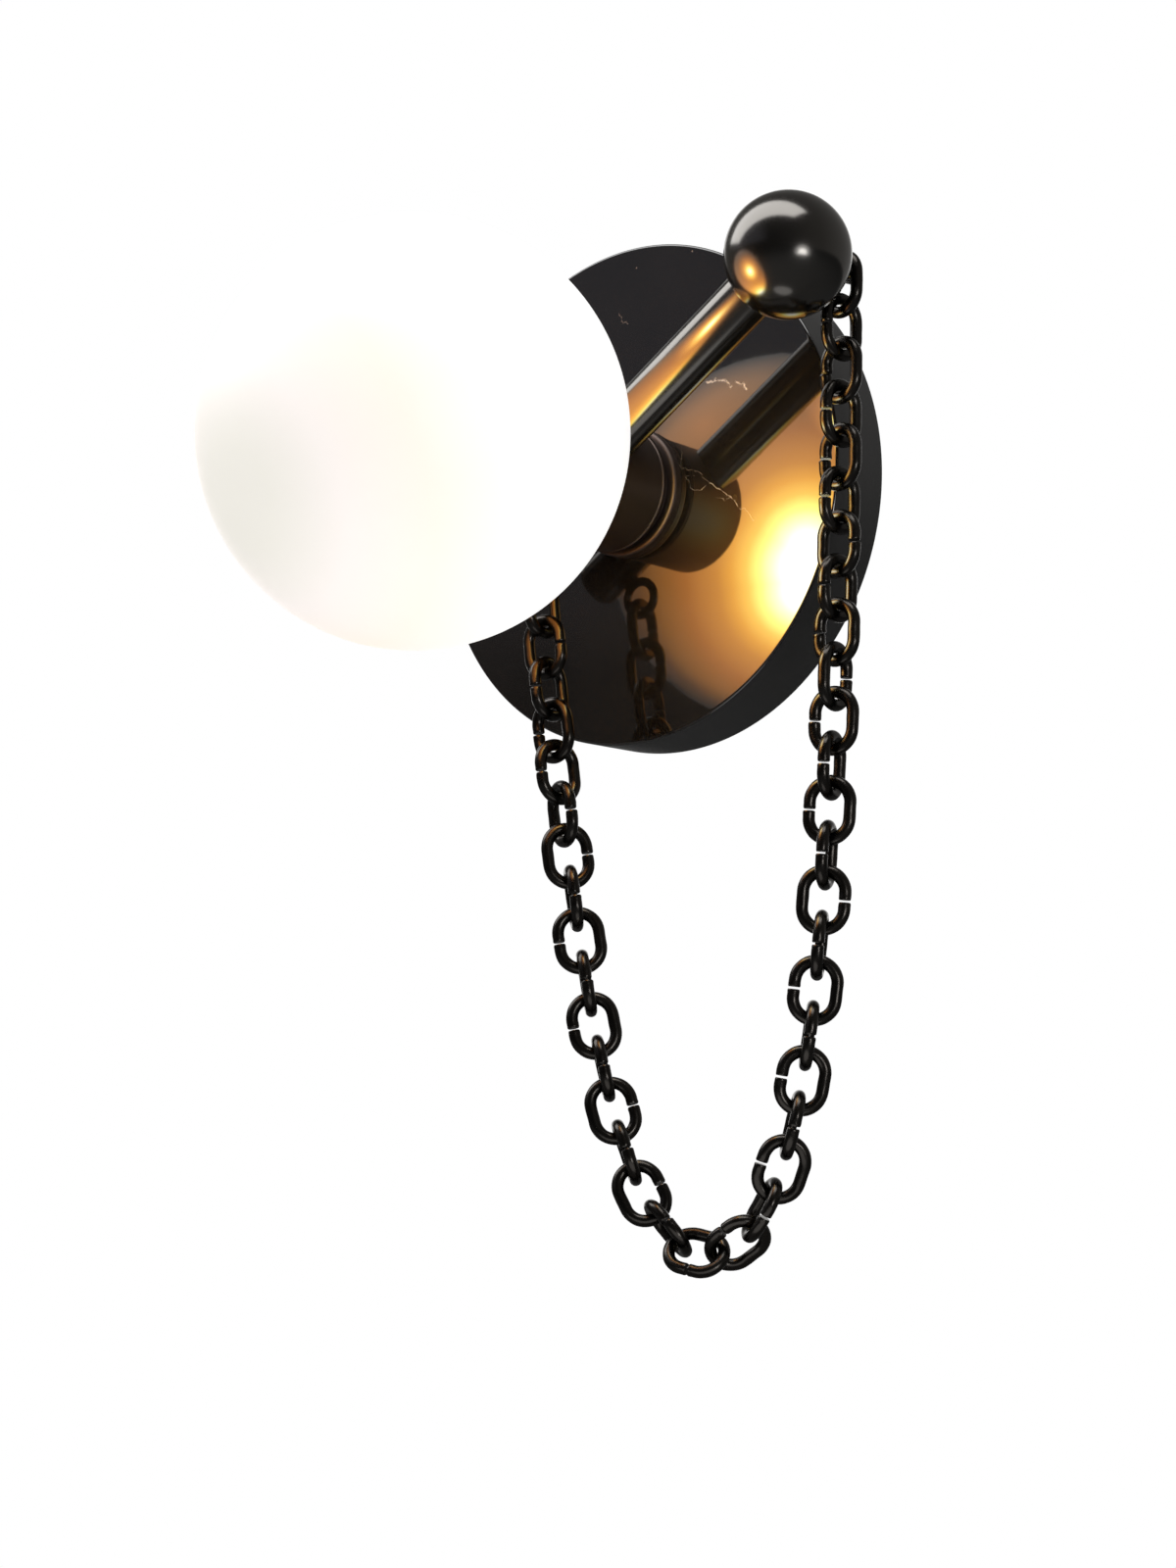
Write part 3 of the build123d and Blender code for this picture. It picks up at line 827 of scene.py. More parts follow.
@dataclass(frozen=True)
class OpalFinish:
    """Satin opal glass lit from inside: nearly white to look at, and golden in what it lights up.

    The glow's places are half distances from the nearest hot place. The seen stops are shares of
    what the eye sees at the brightest, from the lit side to the side with painted shade. The line
    of the painted top light is the gain and offset that turn a direction's part along its way into
    its strength; that light is studio light painted onto the globe's top, on its wall side.
    """

    name: str = "lit_opal_glass"
    centre: Triple = (0.0, -0.1465, 0.0)
    hot_places: tuple[HotPlace, ...] = (
        HotPlace((0.569, 0.740, -0.358)),
        HotPlace((0.589, 0.759, -0.2755), 0.02),
        HotPlace((0.538, 0.707, -0.458), 0.01),
        HotPlace((0.80, 0.44, 0.39), 0.04, 2.0),
        HotPlace((0.037, 0.882, 0.470), 0.36, 0.5),
    )
    glow: tuple[Stop, ...] = (
        (0.00, (1.00, 1.00, 1.00)),
        (0.055, (1.00, 1.00, 0.96)),
        (0.09, (0.98, 0.98, 0.52)),
        (0.125, (0.93, 0.84, 0.20)),
        (0.162, (0.79, 0.46, 0.078)),
        (0.204, (0.61, 0.275, 0.038)),
        (0.247, (0.423, 0.170, 0.028)),
        (0.292, (0.342, 0.131, 0.024)),
        (0.34, (0.251, 0.087, 0.016)),
        (0.39, (0.186, 0.067, 0.011)),
        (0.446, (0.129, 0.048, 0.007)),
        (0.51, (0.061, 0.022, 0.003)),
        (0.75, (0.030, 0.011, 0.002)),
    )
    # Painted light: studio light painted onto the globe's top, on its wall side, in what the globe
    # lights up.
    painted_top_light_way: Triple = (0.037, 0.882, 0.470)
    painted_top_light: Triple = (0.030, 0.036, 0.034)
    painted_top_light_line: tuple[float, float] = (3.0, -2.0)
    limb_start: float = 0.9
    limb_gain: float = 2.6
    strength: float = 12.5
    seen: float = 0.063
    seen_stops: tuple[Stop, ...] = (
        (0.50, (1.0, 1.0, 1.0)),
        (0.77, (0.92, 0.82, 0.70)),
        (0.91, (0.86, 0.79, 0.75)),
        (0.985, (0.72, 0.695, 0.62)),
    )
    # Painted shade: the side, front and lower left, that the seen white greys towards.
    painted_shade_way: Triple = (-0.27, -0.86, -0.41)
    tones: tuple[Triple, Triple] = ((0.44, 0.43, 0.42), (0.47, 0.46, 0.45))
    roughness: float = 0.44
    roughness_spread: float = 0.08
    grain_scale: float = 60.0
    grain_depth: float = 0.00001

    def thrown(self, tree: Tree, way: Socket) -> Socket:
        """The colour that what the globe lights up sees.

        It is half the distance between a direction and the nearest hot place, put through a
        colour ramp from white through gold to brown, with painted light added on the top: studio
        light painted onto the globe's top, on its wall side.

        Args:
            tree: The material's tree.
            way: The direction from the globe's centre.

        Returns:
            The colour's socket.
        """
        reach: Feed = 2.0
        for hot in self.hot_places:
            gap = tree.length(tree.vector("SUBTRACT", way, tuple(unit(hot.way))))
            reach = tree.math("MINIMUM", reach, tree.line(gap, 0.5 * hot.steep, hot.short))
        # Painted light: studio light on the globe's top, added to the glow.
        behind = tree.line(tree.part_along(way, self.painted_top_light_way), *self.painted_top_light_line, clamp=True)
        painted_top_light = tree.vector("SCALE", self.painted_top_light, behind)
        limb = tree.nodes.new("ShaderNodeLayerWeight").outputs["Facing"]
        through = tree.math("SUBTRACT", self.limb_start, limb)
        through = tree.math("MULTIPLY", through, self.limb_gain, clamp=True)
        return tree.vector("SCALE", tree.vector("ADD", tree.ramp(reach, self.glow), painted_top_light), through)

    def material(self, groups: NodeGroups) -> bpy.types.Material:
        """Builds the material: the eye sees nearly white, with painted shade that greys its front,
        lower left side.

        Args:
            groups: The shared shader effects.

        Returns:
            The material.
        """
        material, tree, shader = new_material(self.name)
        place = tree.place()
        way = tree.vector("NORMALIZE", tree.vector("SUBTRACT", place, self.centre))
        # Painted shade: the eye's white greys towards the front, lower left side of the globe.
        dim = tree.line(tree.part_along(way, self.painted_shade_way), 0.5, 0.5)
        stops = [(at, shade(colour, self.seen)) for at, colour in self.seen_stops]
        eye = tree.nodes.new("ShaderNodeLightPath").outputs["Is Camera Ray"]
        colour = tree.mix(eye, self.thrown(tree, way), tree.ramp(dim, stops))
        tree.link(colour, shader.inputs["Emission Color"])
        shader.inputs["Emission Strength"].default_value = self.strength
        grain = tree.group(groups.grain, Vector=place, Scale=self.grain_scale)
        tree.link(tree.mix(grain.outputs["Tone"], *self.tones), shader.inputs["Base Color"])
        rough = tree.line(grain.outputs["Tone"], self.roughness_spread, self.roughness)
        tree.link(rough, shader.inputs["Roughness"])
        tree.link(tree.bump(grain.outputs["Height"], self.grain_depth), shader.inputs["Normal"])
        return material


SATIN = MetalFinish(
    "satin_dark_bronze",
    (0.112, 0.086, 0.075),
    (0.26, 0.22, 0.18),
    0.50,
    roughness_spread=0.05,
    rubbed_amount=0.04,
    tone_spread=0.10,
    grain_scale=240.0,
    grain_depth=0.000003,
)
FINISHES: dict[Slot, StoneFinish | OpalFinish | MetalFinish | PlainFinish] = {
    Slot.STONE: StoneFinish(),
    Slot.OPAL: OpalFinish(),
    Slot.NICKEL: MetalFinish(
        "polished_dark_bronze",
        (0.130, 0.124, 0.116),
        (0.24, 0.20, 0.15),
        0.175,
        roughness_spread=0.05,
        rubbed_amount=0.05,
        rubbed_roughness=0.24,
        tone_spread=0.12,
        grain_scale=240.0,
        grain_depth=0.000002,
    ),
    Slot.WIRE: MetalFinish(
        "oxidised_bronze_wire",
        (0.050, 0.046, 0.042),
        (0.66, 0.60, 0.46),
        0.24,
        roughness_spread=0.12,
        rubbed_amount=0.26,
        rubbed_roughness=0.24,
        sharpness=2.6,
        tone_spread=0.4,
        grain_scale=300.0,
        grain_depth=0.00005,
        by_attribute=True,
    ),
    Slot.STEEL: MetalFinish("zinc_plated_steel", (0.56, 0.57, 0.58), (0.40, 0.38, 0.34), 0.32),
    Slot.BRASS: MetalFinish("plain_brass", (0.72, 0.53, 0.24), (0.42, 0.28, 0.12), 0.28),
    Slot.NYLON: PlainFinish("moulded_nylon", (0.82, 0.81, 0.77), 0.42),
    Slot.RUBBER: PlainFinish("black_rubber", (0.018, 0.018, 0.019), 0.7),
    Slot.GASKET: PlainFinish("soft_sleeve", (0.72, 0.71, 0.68), 0.4),
    Slot.CERAMIC: PlainFinish("glazed_ceramic", (0.86, 0.85, 0.80), 0.22, coat=0.6),
    Slot.LAMP_GLASS: PlainFinish(
        "clear_lamp_glass", (0.95, 0.96, 0.97), 0.06, tone_spread=0.01, transmission=1.0
    ),
    Slot.PHOSPHOR: PlainFinish("lamp_light_strip", (1.0, 0.78, 0.42), 0.5, glow=6.0),
}


class Finishes:
    """Every finish of the light, built once: one for each slot, and the hub's satin."""

    def __init__(self, groups: NodeGroups) -> None:
        """Builds each material."""
        self.by_slot = {slot: finish.material(groups) for slot, finish in FINISHES.items()}
        self.satin = SATIN.material(groups)

    def dress_frame(self) -> None:
        """Gives every CAD node the finish of its own slot."""
        for row in frame["record"]["subparts"]:
            materials = frame["nodes"][row["node"]].data.materials
            materials.clear()
            materials.append(self.by_slot[Slot(row["material_slot"])])


# ------------------------------------------------------------------ sub-assemblies
@dataclass
class Backplate:
    """The thick round stone plate, with a recess behind and a hole for the threaded nipple."""

    radius: float = 95.0
    thickness: float = 28.0
    edge: float = 1.0
    back_edge: float = 0.6
    recess_radius: float = 63.0
    recess_depth: float = 17.0
    hole_radius: float = 5.1
    honed_from: float = 0.35
    honed_over: float = 0.5
    segments: int = 256

    def build(self, finishes: Finishes) -> None:
        """Turns the plate's section and marks its honed rim and back.

        Args:
            finishes: The light's finishes.
        """
        outline = rounded(
            (
                (self.hole_radius, self.thickness, 0.0),
                (self.radius, self.thickness, self.edge),
                (self.radius, 0.0, self.back_edge),
                (self.recess_radius, 0.0, self.back_edge),
                (self.recess_radius, self.recess_depth, 0.0),
                (self.hole_radius, self.recess_depth, 0.0),
            )
        )
        shell = lathe(LAMP_AXES, outline, self.segments)
        behind = self.thickness - self.honed_from + shell.points[:, 1]
        shell.wear = np.clip(behind / self.honed_over, 0, 1)
        stone = finishes.by_slot[Slot.STONE]
        add_piece("stone_plate", shell, stone, Body.FIXTURE, "stone_backplate")


@dataclass
class Hub:
    """The stepped flange, the half-round bead and the round cup that the bar crosses.

    The rounds are corner radii, in the order of the outlines.
    """

    plate_front: float = 28.0
    flange_radius: float = 24.5
    flange_thickness: float = 4.0
    flange_rounds: tuple[float, ...] = (0.15, 1.2, 0.2, 0.1)
    waist_radius: float = 20.5
    waist_height: float = 3.5
    bead_radius: float = 23.8
    bead_height: float = 2.6
    bead_round: float = 1.274
    cup_radius: float = 23.5
    cup_wall: float = 3.0
    cup_floor: float = 6.0
    cup_rounds: tuple[float, ...] = (0.25, 0.4, 0.3, 0.4)
    hole_radius: float = 5.1
    globe_depth: float = 146.5
    seat_radius: float = 75.4
    segments: int = 160

    def rim_depth(self, radius: float) -> float:
        """Where the cup's rim meets the ball that follows the globe: D - sqrt(S^2 - R^2)."""
        return self.globe_depth - math.sqrt(self.seat_radius**2 - radius**2)

    def turned(self, run: Sequence[Triple], back: float, front: float, steps: int = 6) -> Shell:
        """A ring about the lamp's axis, between its hole and an outline.

        Args:
            run: The outline's corners as (radius, depth, corner radius), from back to front.
            back: The depth where the hole starts.
            front: The depth where the hole ends.
            steps: Segments in each rounded corner.

        Returns:
            The closed surface.
        """
        corners = ((self.hole_radius, back, 0.0), *run, (self.hole_radius, front, 0.0))
        return lathe(LAMP_AXES, rounded(corners, steps), self.segments)

    def build(self, finishes: Finishes) -> None:
        """Turns the three hub pieces.

        Args:
            finishes: The light's finishes.
        """
        flange_front = self.plate_front + self.flange_thickness
        waist_front = flange_front + self.waist_height
        cup_back = waist_front + self.bead_height
        floor = cup_back + self.cup_floor
        inner = self.cup_radius - self.cup_wall
        flange_run = (
            (self.flange_radius, self.plate_front, self.flange_rounds[0]),
            (self.flange_radius, flange_front, self.flange_rounds[1]),
            (self.waist_radius, flange_front, self.flange_rounds[2]),
            (self.waist_radius, waist_front, self.flange_rounds[3]),
        )
        bead_run = (
            (self.bead_radius, waist_front, self.bead_round),
            (self.bead_radius, cup_back, self.bead_round),
        )
        cup_run = (
            (self.cup_radius, cup_back, self.cup_rounds[0]),
            (self.cup_radius, self.rim_depth(self.cup_radius), self.cup_rounds[1]),
            (inner, self.rim_depth(inner), self.cup_rounds[2]),
            (inner, floor, self.cup_rounds[3]),
        )
        for node, shell in (
            ("hub_flange", self.turned(flange_run, self.plate_front, waist_front)),
            ("hub_bead", self.turned(bead_run, waist_front, cup_back, steps=10)),
            ("hub_cup", self.turned(cup_run, cup_back, floor)),
        ):
            add_piece(f"{node}_turned", shell, finishes.satin, Body.FIXTURE, node)


@dataclass
class Globe:
    """The blown opal globe with its plain neck."""

    radius: float = 75.0
    wall: float = 3.0
    depth: float = 146.5
    mouth_radius: float = 18.0
    mouth_back: float = 65.69203
    lip_steps: int = 13
    steps: int = 160
    segments: int = 224

    def arc(self, radius: float, mouth: float) -> Array:
        """A wall's section from its far pole to its neck, on a circle about the globe's centre.

        Args:
            radius: The circle's radius.
            mouth: The neck's radius.

        Returns:
            Points as (radius, depth).
        """
        turn = np.linspace(math.pi, math.asin(mouth / radius), self.steps)
        return np.stack([radius * np.sin(turn), self.depth - radius * np.cos(turn)], -1)

    def build(self, finishes: Finishes) -> None:
        """Turns the globe's two walls and its neck as one closed surface.

        Args:
            finishes: The light's finishes.
        """
        inner_mouth = self.mouth_radius - self.wall
        outer = self.arc(self.radius, self.mouth_radius)
        inner = self.arc(self.radius - self.wall, inner_mouth)[::-1]
        half = self.wall / 2
        turn = np.linspace(0, math.pi, self.lip_steps)
        across = (self.mouth_radius + inner_mouth) / 2 + half * np.cos(turn)
        lip = np.stack([across, self.mouth_back + half - half * np.sin(turn)], -1)
        outline = np.concatenate([outer, lip, inner])
        outline[0, 0] = outline[-1, 0] = 0.0
        shell = lathe(LAMP_AXES, outline, self.segments)
        opal = finishes.by_slot[Slot.OPAL]
        add_piece("opal_globe_blown", shell, opal, Body.GLOBE, "opal_globe")


@dataclass
class CrossBar:
    """The bar across the hub, its ball and the dome on its short end.

    The supports are extra rings near a tube's two ends that keep its sides flat. The socket's
    depths are measured from its mouth to a support ring, to its corner's bevel and to its floor.
    """

    tube_radius: float = 9.5
    tube_wall: float = 1.5
    bevel: float = 0.35
    supports: tuple[float, float] = (0.6, 0.5)
    depth: float = 60.7
    angle: float = 31.25
    hub_radius: float = 23.55
    arm_end: float = 99.754
    stub_end: float = 44.0
    dome: float = 5.0
    dome_round: float = 4.4
    dome_edges: tuple[float, float] = (0.3, 0.1)
    dome_steps: int = 12
    spigot: float = 3.2
    spigot_radius: float = 7.9
    ball_reach: float = 117.2
    ball_radius: float = 22.5
    ball_steps: int = 120
    ball_segments: int = 160
    socket_slack: float = 0.1
    socket_depths: Triple = (0.3, 2.7, 2.95)
    eye_reach: float = 32.5
    eye_collar: float = 0.8
    eye_hole: float = 9.5
    eye_wire: float = 3.5
    segments: int = 128

    def axes(self, turn: float = 0.0, reach: float = 0.0) -> Axes:
        """Axes along the bar.

        Args:
            turn: Degrees round the lamp's axis from the arm; the stub is at 180.
            reach: The origin's distance from the lamp's axis.

        Returns:
            The axes.
        """
        angle = math.radians(self.angle + turn)
        out = np.array([math.cos(angle), 0.0, math.sin(angle)])
        return axes_along(out * reach + np.array([0.0, -self.depth, 0.0]), out)

    def ball_centre(self) -> Array:
        """The ball's middle."""
        return self.axes(reach=self.ball_reach).origin

    def eye_centre(self) -> Array:
        """The middle of the eye under the stub."""
        tilt = math.radians(self.angle)
        ring = (self.eye_hole + self.eye_wire) / 2
        drop = self.tube_radius + self.eye_collar + ring + self.eye_wire / 2
        down = np.array([math.sin(tilt), 0.0, -math.cos(tilt)])
        return self.axes(180.0, self.eye_reach).origin + down * drop

    def tube(self, turn: float, end: float) -> Shell:
        """A tube whose hub end fits the hub: it starts at sqrt(H^2 - V^2) for a side offset V.

        Args:
            turn: Degrees round the lamp's axis from the arm.
            end: The distance from the lamp's axis to the tube's bevelled end.

        Returns:
            The closed surface.
        """
        axes = self.axes(turn)
        around = np.linspace(0, 2 * np.pi, self.segments, endpoint=False)
        inner = self.tube_radius - self.tube_wall
        bevel, eased = self.bevel, self.bevel * 0.3
        sections = (
            (self.tube_radius, 0.0, 0.0),
            (self.tube_radius, 0.0, self.supports[0]),
            (self.tube_radius, 1.0, -bevel - self.supports[1]),
            (self.tube_radius, 1.0, -bevel),
            (self.tube_radius - eased, 1.0, -eased),
            (self.tube_radius - bevel, 1.0, 0.0),
            (inner, 1.0, 0.0),
            (inner, 0.0, 0.0),
        )
        rows = []
        for radius, far, shift in sections:
            side, up = radius * np.cos(around), radius * np.sin(around)
            lateral = side if abs(axes.side[1]) < 0.5 else up
            start = np.sqrt(self.hub_radius**2 - lateral**2)
            rows.append(axes.put(side, up, start * (1 - far) + end * far + shift))
        return grid_shell(np.stack(rows), wrap_rows=True)

    def end_dome(self) -> Shell:
        """The rounded plug on the stub's end, with its spigot in the tube.

        Returns:
            The closed surface.
        """
        inside, edges = self.stub_end - self.spigot, self.dome_edges
        corners = (
            (0.0, inside, 0.0),
            (self.spigot_radius, inside, edges[0]),
            (self.spigot_radius, self.stub_end, 0.0),
            (self.tube_radius, self.stub_end, edges[1]),
            (self.tube_radius, self.stub_end + self.dome, self.dome_round),
            (0.0, self.stub_end + self.dome, 0.0),
        )
        outline = rounded(corners, self.dome_steps, closed=False)
        return lathe(self.axes(180.0), outline, self.segments)

    def ball(self) -> Shell:
        """The ball, from its far pole round to the mouth and floor of the socket for the arm.

        Returns:
            The closed surface.
        """
        mouth, radius = self.tube_radius + self.socket_slack, self.ball_radius
        turn = np.linspace(math.pi, math.asin(mouth / radius), self.ball_steps)
        skin = np.stack([radius * np.sin(turn), -radius * np.cos(turn)], -1)
        skin[0, 0] = 0.0
        rim = -math.sqrt(radius**2 - mouth**2)
        wall = np.array([[mouth, rim + depth] for depth in self.socket_depths])
        floor = wall[-1:] * [0.0, 1.0]
        outline = np.concatenate([skin, wall, floor])
        return lathe(self.axes(reach=self.ball_reach), outline, self.ball_segments)

    def build(self, finishes: Finishes) -> None:
        """Builds the two tubes, the dome and the ball.

        Args:
            finishes: The light's finishes.
        """
        nickel = finishes.by_slot[Slot.NICKEL]
        for name, shell, node in (
            ("bar_arm", self.tube(0.0, self.arm_end), "arm_tube"),
            ("bar_stub", self.tube(180.0, self.stub_end), "stub_tube"),
            ("bar_dome", self.end_dome(), "stub_cap"),
            ("bar_ball", self.ball(), "ball"),
        ):
            add_piece(name, shell, nickel, Body.FIXTURE, node)


@dataclass
class WireChain:
    """The chain of unwelded wire links, hung between the eye and the ball's screw.

    Turns are in degrees. A span is where a twist happens, in shares of the number of links. The
    first guess is the slope's step and the level link's share. Each wave on the wire is its
    height, its rounds along the wire and about it, and its shift. The cut ends' lift is its
    least, its spread and the rate at which it changes from link to link.
    """

    links: int = 40
    wire: float = 4.4
    inner_length: float = 15.95
    inner_width: float = 10.3
    gap: float = 0.3
    split: float = 0.8
    left_turn: float = -50.0
    bottom_turn: float = 34.0
    screw_lean: float = 9.5
    fixed_links: int = 2
    flipped: tuple[int, ...] = (3, 6, 12, 14, 25, 30, 33)
    eye_centre: Triple = (0.0, 0.0, 0.0)
    ball_centre: Triple = (0.0, 0.0, 0.0)
    eye_hole: float = 9.5
    ball_radius: float = 22.5
    spacer: float = 1.8
    shoulder: float = 4.5
    left_span: tuple[float, float] = (0.05, 0.2)
    bottom_span: tuple[float, float] = (0.35, 0.5)
    right_span: tuple[float, float] = (0.5, 0.875)
    first_guess: tuple[float, float] = (0.9, 0.42)
    newton_steps: int = 12
    nudge: float = 1e-6
    around: int = 28
    bend_steps: int = 25
    leg_steps: int = 7
    fullness: float = 0.992
    filed: float = 0.9
    waves: tuple[tuple[float, int, int, int], ...] = ((0.010, 7, 2, 1), (0.008, 13, -3, 2))
    phase_step: float = 1.7
    cut_lift: Triple = (0.10, 0.12, 3.1)
    cut_narrowness: float = 14.0
    outer_rub: float = 0.55
    cut_wear: float = 0.5

    def start(self) -> Array:
        """Where the first link's end hangs in the eye."""
        return np.array(self.eye_centre) + np.array([0, 0, self.gap / 2 - self.eye_hole / 2])

    def end(self) -> Array:
        """Where the last link's end hangs on the screw."""
        lean = math.radians(self.screw_lean)
        out = self.ball_radius + self.spacer + self.gap + self.wire / 2
        hold = np.array([0, 0, self.gap / 2 + self.shoulder / 2])
        way = np.array([math.sin(lean), math.cos(lean), 0])
        return np.array(self.ball_centre) + way * out + hold

    def turns(self, yaw: float) -> Array:
        """Each link's turn about its own length: smooth steps between three twists.

        Args:
            yaw: The chain's direction seen from above, in degrees.

        Returns:
            The turns, in radians.
        """
        number = np.arange(self.links)

        def climb(span: tuple[float, float]) -> Array:
            """0 before the span, 1 after it and smooth in it, as 3 s^2 - 2 s^3."""
            low, high = span[0] * self.links, span[1] * self.links
            share = np.clip((number - low) / (high - low), 0, 1)
            return share * share * (3 - 2 * share)

        right_turn = 2 * yaw + self.screw_lean - self.left_turn - self.bottom_turn
        twist = self.left_turn * climb(self.left_span) + self.bottom_turn * climb(self.bottom_span)
        twist = twist + right_turn * climb(self.right_span)
        return np.radians(twist - yaw + 90 * (number % 2))

    def lay(self, values: Array, turns: Array) -> tuple[Array, Array, Array, Array]:
        """Lays the links for a slope step, a level link and a direction.

        The tangent of the slope grows by the step from link to link. The line between the bow
        centres of two neighbours is the cross product of their flat directions.

        Args:
            values: The slope step, the number of the level link and the direction in radians.
            turns: Each link's turn about its own length.

        Returns:
            The links' middles, their wide directions, their long directions and the chain's end.
        """
        step, level, yaw = values
        run = np.array([math.cos(yaw), math.sin(yaw), 0.0])
        aside = np.array([math.sin(yaw), -math.cos(yaw), 0.0])
        slope = np.arctan(step * (np.arange(self.links) + 0.5 - level))[:, None]
        along = run * np.cos(slope) + np.array([0.0, 0.0, 1.0]) * np.sin(slope)
        turn = turns[:, None]
        wide = aside * np.cos(turn) + np.cross(aside[None], along) * np.sin(turn)
        flat = np.cross(wide, along)
        between = np.cross(flat[:-1], flat[1:])
        between /= np.linalg.norm(between, axis=1, keepdims=True)
        between *= np.sign(np.einsum("ij,ij->i", between, along[1:]))[:, None]
        leg = (self.inner_length - self.inner_width) / 2
        joint = self.inner_width - self.gap
        first = self.start() + along[0] * (joint / 2 + leg)
        steps = along[:-1] * leg + between * joint + along[1:] * leg
        middles = first + np.concatenate([np.zeros((1, 3)), np.cumsum(steps, 0)])
        return middles, wide, along, middles[-1] + along[-1] * (leg + joint / 2)

    def hang(self) -> tuple[Array, Array, Array]:
        """Finds the links' places, by Newton steps on the chain's end.

        Returns:
            The links' middles, their wide directions and their long directions.
        """
        run = self.end() - self.start()
        yaw = math.atan2(run[1], run[0])
        turns = self.turns(math.degrees(yaw))
        step, level = self.first_guess
        values = np.array([step, level * self.links, yaw])
        for _ in range(self.newton_steps):
            reached = self.lay(values, turns)[3]
            nudged = [self.lay(values + d, turns)[3] for d in np.eye(3) * self.nudge]
            slopes = (np.stack(nudged, 1) - reached[:, None]) / self.nudge
            values = values + np.linalg.solve(slopes, self.end() - reached)
        middles, wide, along, _ = self.lay(values, turns)
        sign = np.where(np.isin(np.arange(self.links), self.flipped), -1.0, 1.0)[:, None]
        return middles, wide * sign, along

    def centreline(self) -> tuple[Array, Array]:
        """A link's centreline and outward directions, from one cut end round to the other.

        Returns:
            Points and outward unit vectors, both as (wide, along).
        """
        leg = (self.inner_length - self.inner_width) / 2
        bend = (self.inner_width + self.wire) / 2
        arc = np.linspace(0, math.pi, self.bend_steps)
        right = np.linspace(self.split / 2, leg, self.leg_steps)[:-1]
        left = np.linspace(leg, -leg, self.leg_steps)[1:-1]
        top = np.stack([bend * np.cos(arc), leg + bend * np.sin(arc)], -1)
        bottom = np.stack([-bend * np.cos(arc), -leg - bend * np.sin(arc)], -1)
        rise = np.stack([np.full_like(right, bend), right], -1)
        drop = np.stack([np.full_like(left, -bend), left], -1)
        points = np.concatenate([rise, top, drop, bottom, (rise * [1, -1])[::-1]])
        core = np.stack([np.zeros(len(points)), np.clip(points[:, 1], -leg, leg)], -1)
        outward = (points - core) / bend
        return points, outward / np.linalg.norm(outward, axis=1, keepdims=True)

    def link(self, middle: Array, wide: Array, along: Array, seed: int) -> Shell:
        """One link: a round wire carried along the centreline, with a hand-bent unevenness.

        The wire's radius is R * (1 + small waves), the two cut ends stand apart by a hair, and
        each has a filed edge. The wear is highest inside the bows, where links rub.

        Args:
            middle: The link's middle.
            wide: Its wide direction.
            along: Its long direction.
            seed: The link's number, which sets its waves.

        Returns:
            The closed surface, with its wear.
        """
        points, outward = self.centreline()
        flat = np.cross(wide, along)
        count = len(points)
        share = np.linspace(0, 1, count)
        ends = [0, 1, count - 2, count - 1]
        bevel = np.interp(share * (count - 1), ends, [self.filed, 1.0, 1.0, self.filed])
        around = np.linspace(0, 2 * np.pi, self.around, endpoint=False)
        swell = np.ones((count, self.around))
        for height, rounds, turns, shift in self.waves:
            phase = shift * seed * self.phase_step + turns * around
            swell = swell + height * np.sin(rounds * share[:, None] * 2 * np.pi + phase)
        radius = self.wire / 2 * bevel[:, None] * swell * self.fullness
        cut = np.exp(-(np.minimum(share, 1 - share) * self.cut_narrowness) ** 2)
        least, spread, rate = self.cut_lift
        lift = (least + spread * math.sin(rate * seed)) * cut * np.sign(0.5 - share)
        plane = np.stack([wide, along])
        sideways = outward @ plane
        centre = middle + points @ plane + lift[:, None] * flat
        ring = (
            centre[:, None]
            + (radius * np.cos(around))[..., None] * sideways[:, None]
            + (radius * np.sin(around))[..., None] * flat
        )
        shell = grid_shell(ring, capped=True)
        bow = np.abs(outward[:, 1])[:, None]
        inner_rub = np.clip(-np.cos(around), 0, 1) * bow**3
        outer_rub = np.clip(np.cos(around), 0, 1) ** 2 * self.outer_rub
        wear = np.maximum(inner_rub, outer_rub).reshape(-1)
        shell.wear = np.concatenate([wear, [self.cut_wear] * 2])
        return shell

    def build(self, finishes: Finishes) -> None:
        """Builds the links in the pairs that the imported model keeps.

        Args:
            finishes: The light's finishes.
        """
        middles, wide, along = self.hang()
        wire = finishes.by_slot[Slot.WIRE]
        for first in range(0, self.links, 2):
            pair = [self.link(middles[n], wide[n], along[n], n) for n in (first, first + 1)]
            fixed = first >= self.links - self.fixed_links
            label = f"{first + 1:02d}_{first + 2:02d}"
            node = "ball_links" if fixed else f"chain_links_{label}"
            body = Body.FIXTURE if fixed else Body.CHAIN
            add_piece(f"wire_links_{label}", joined(pair), wire, body, node)


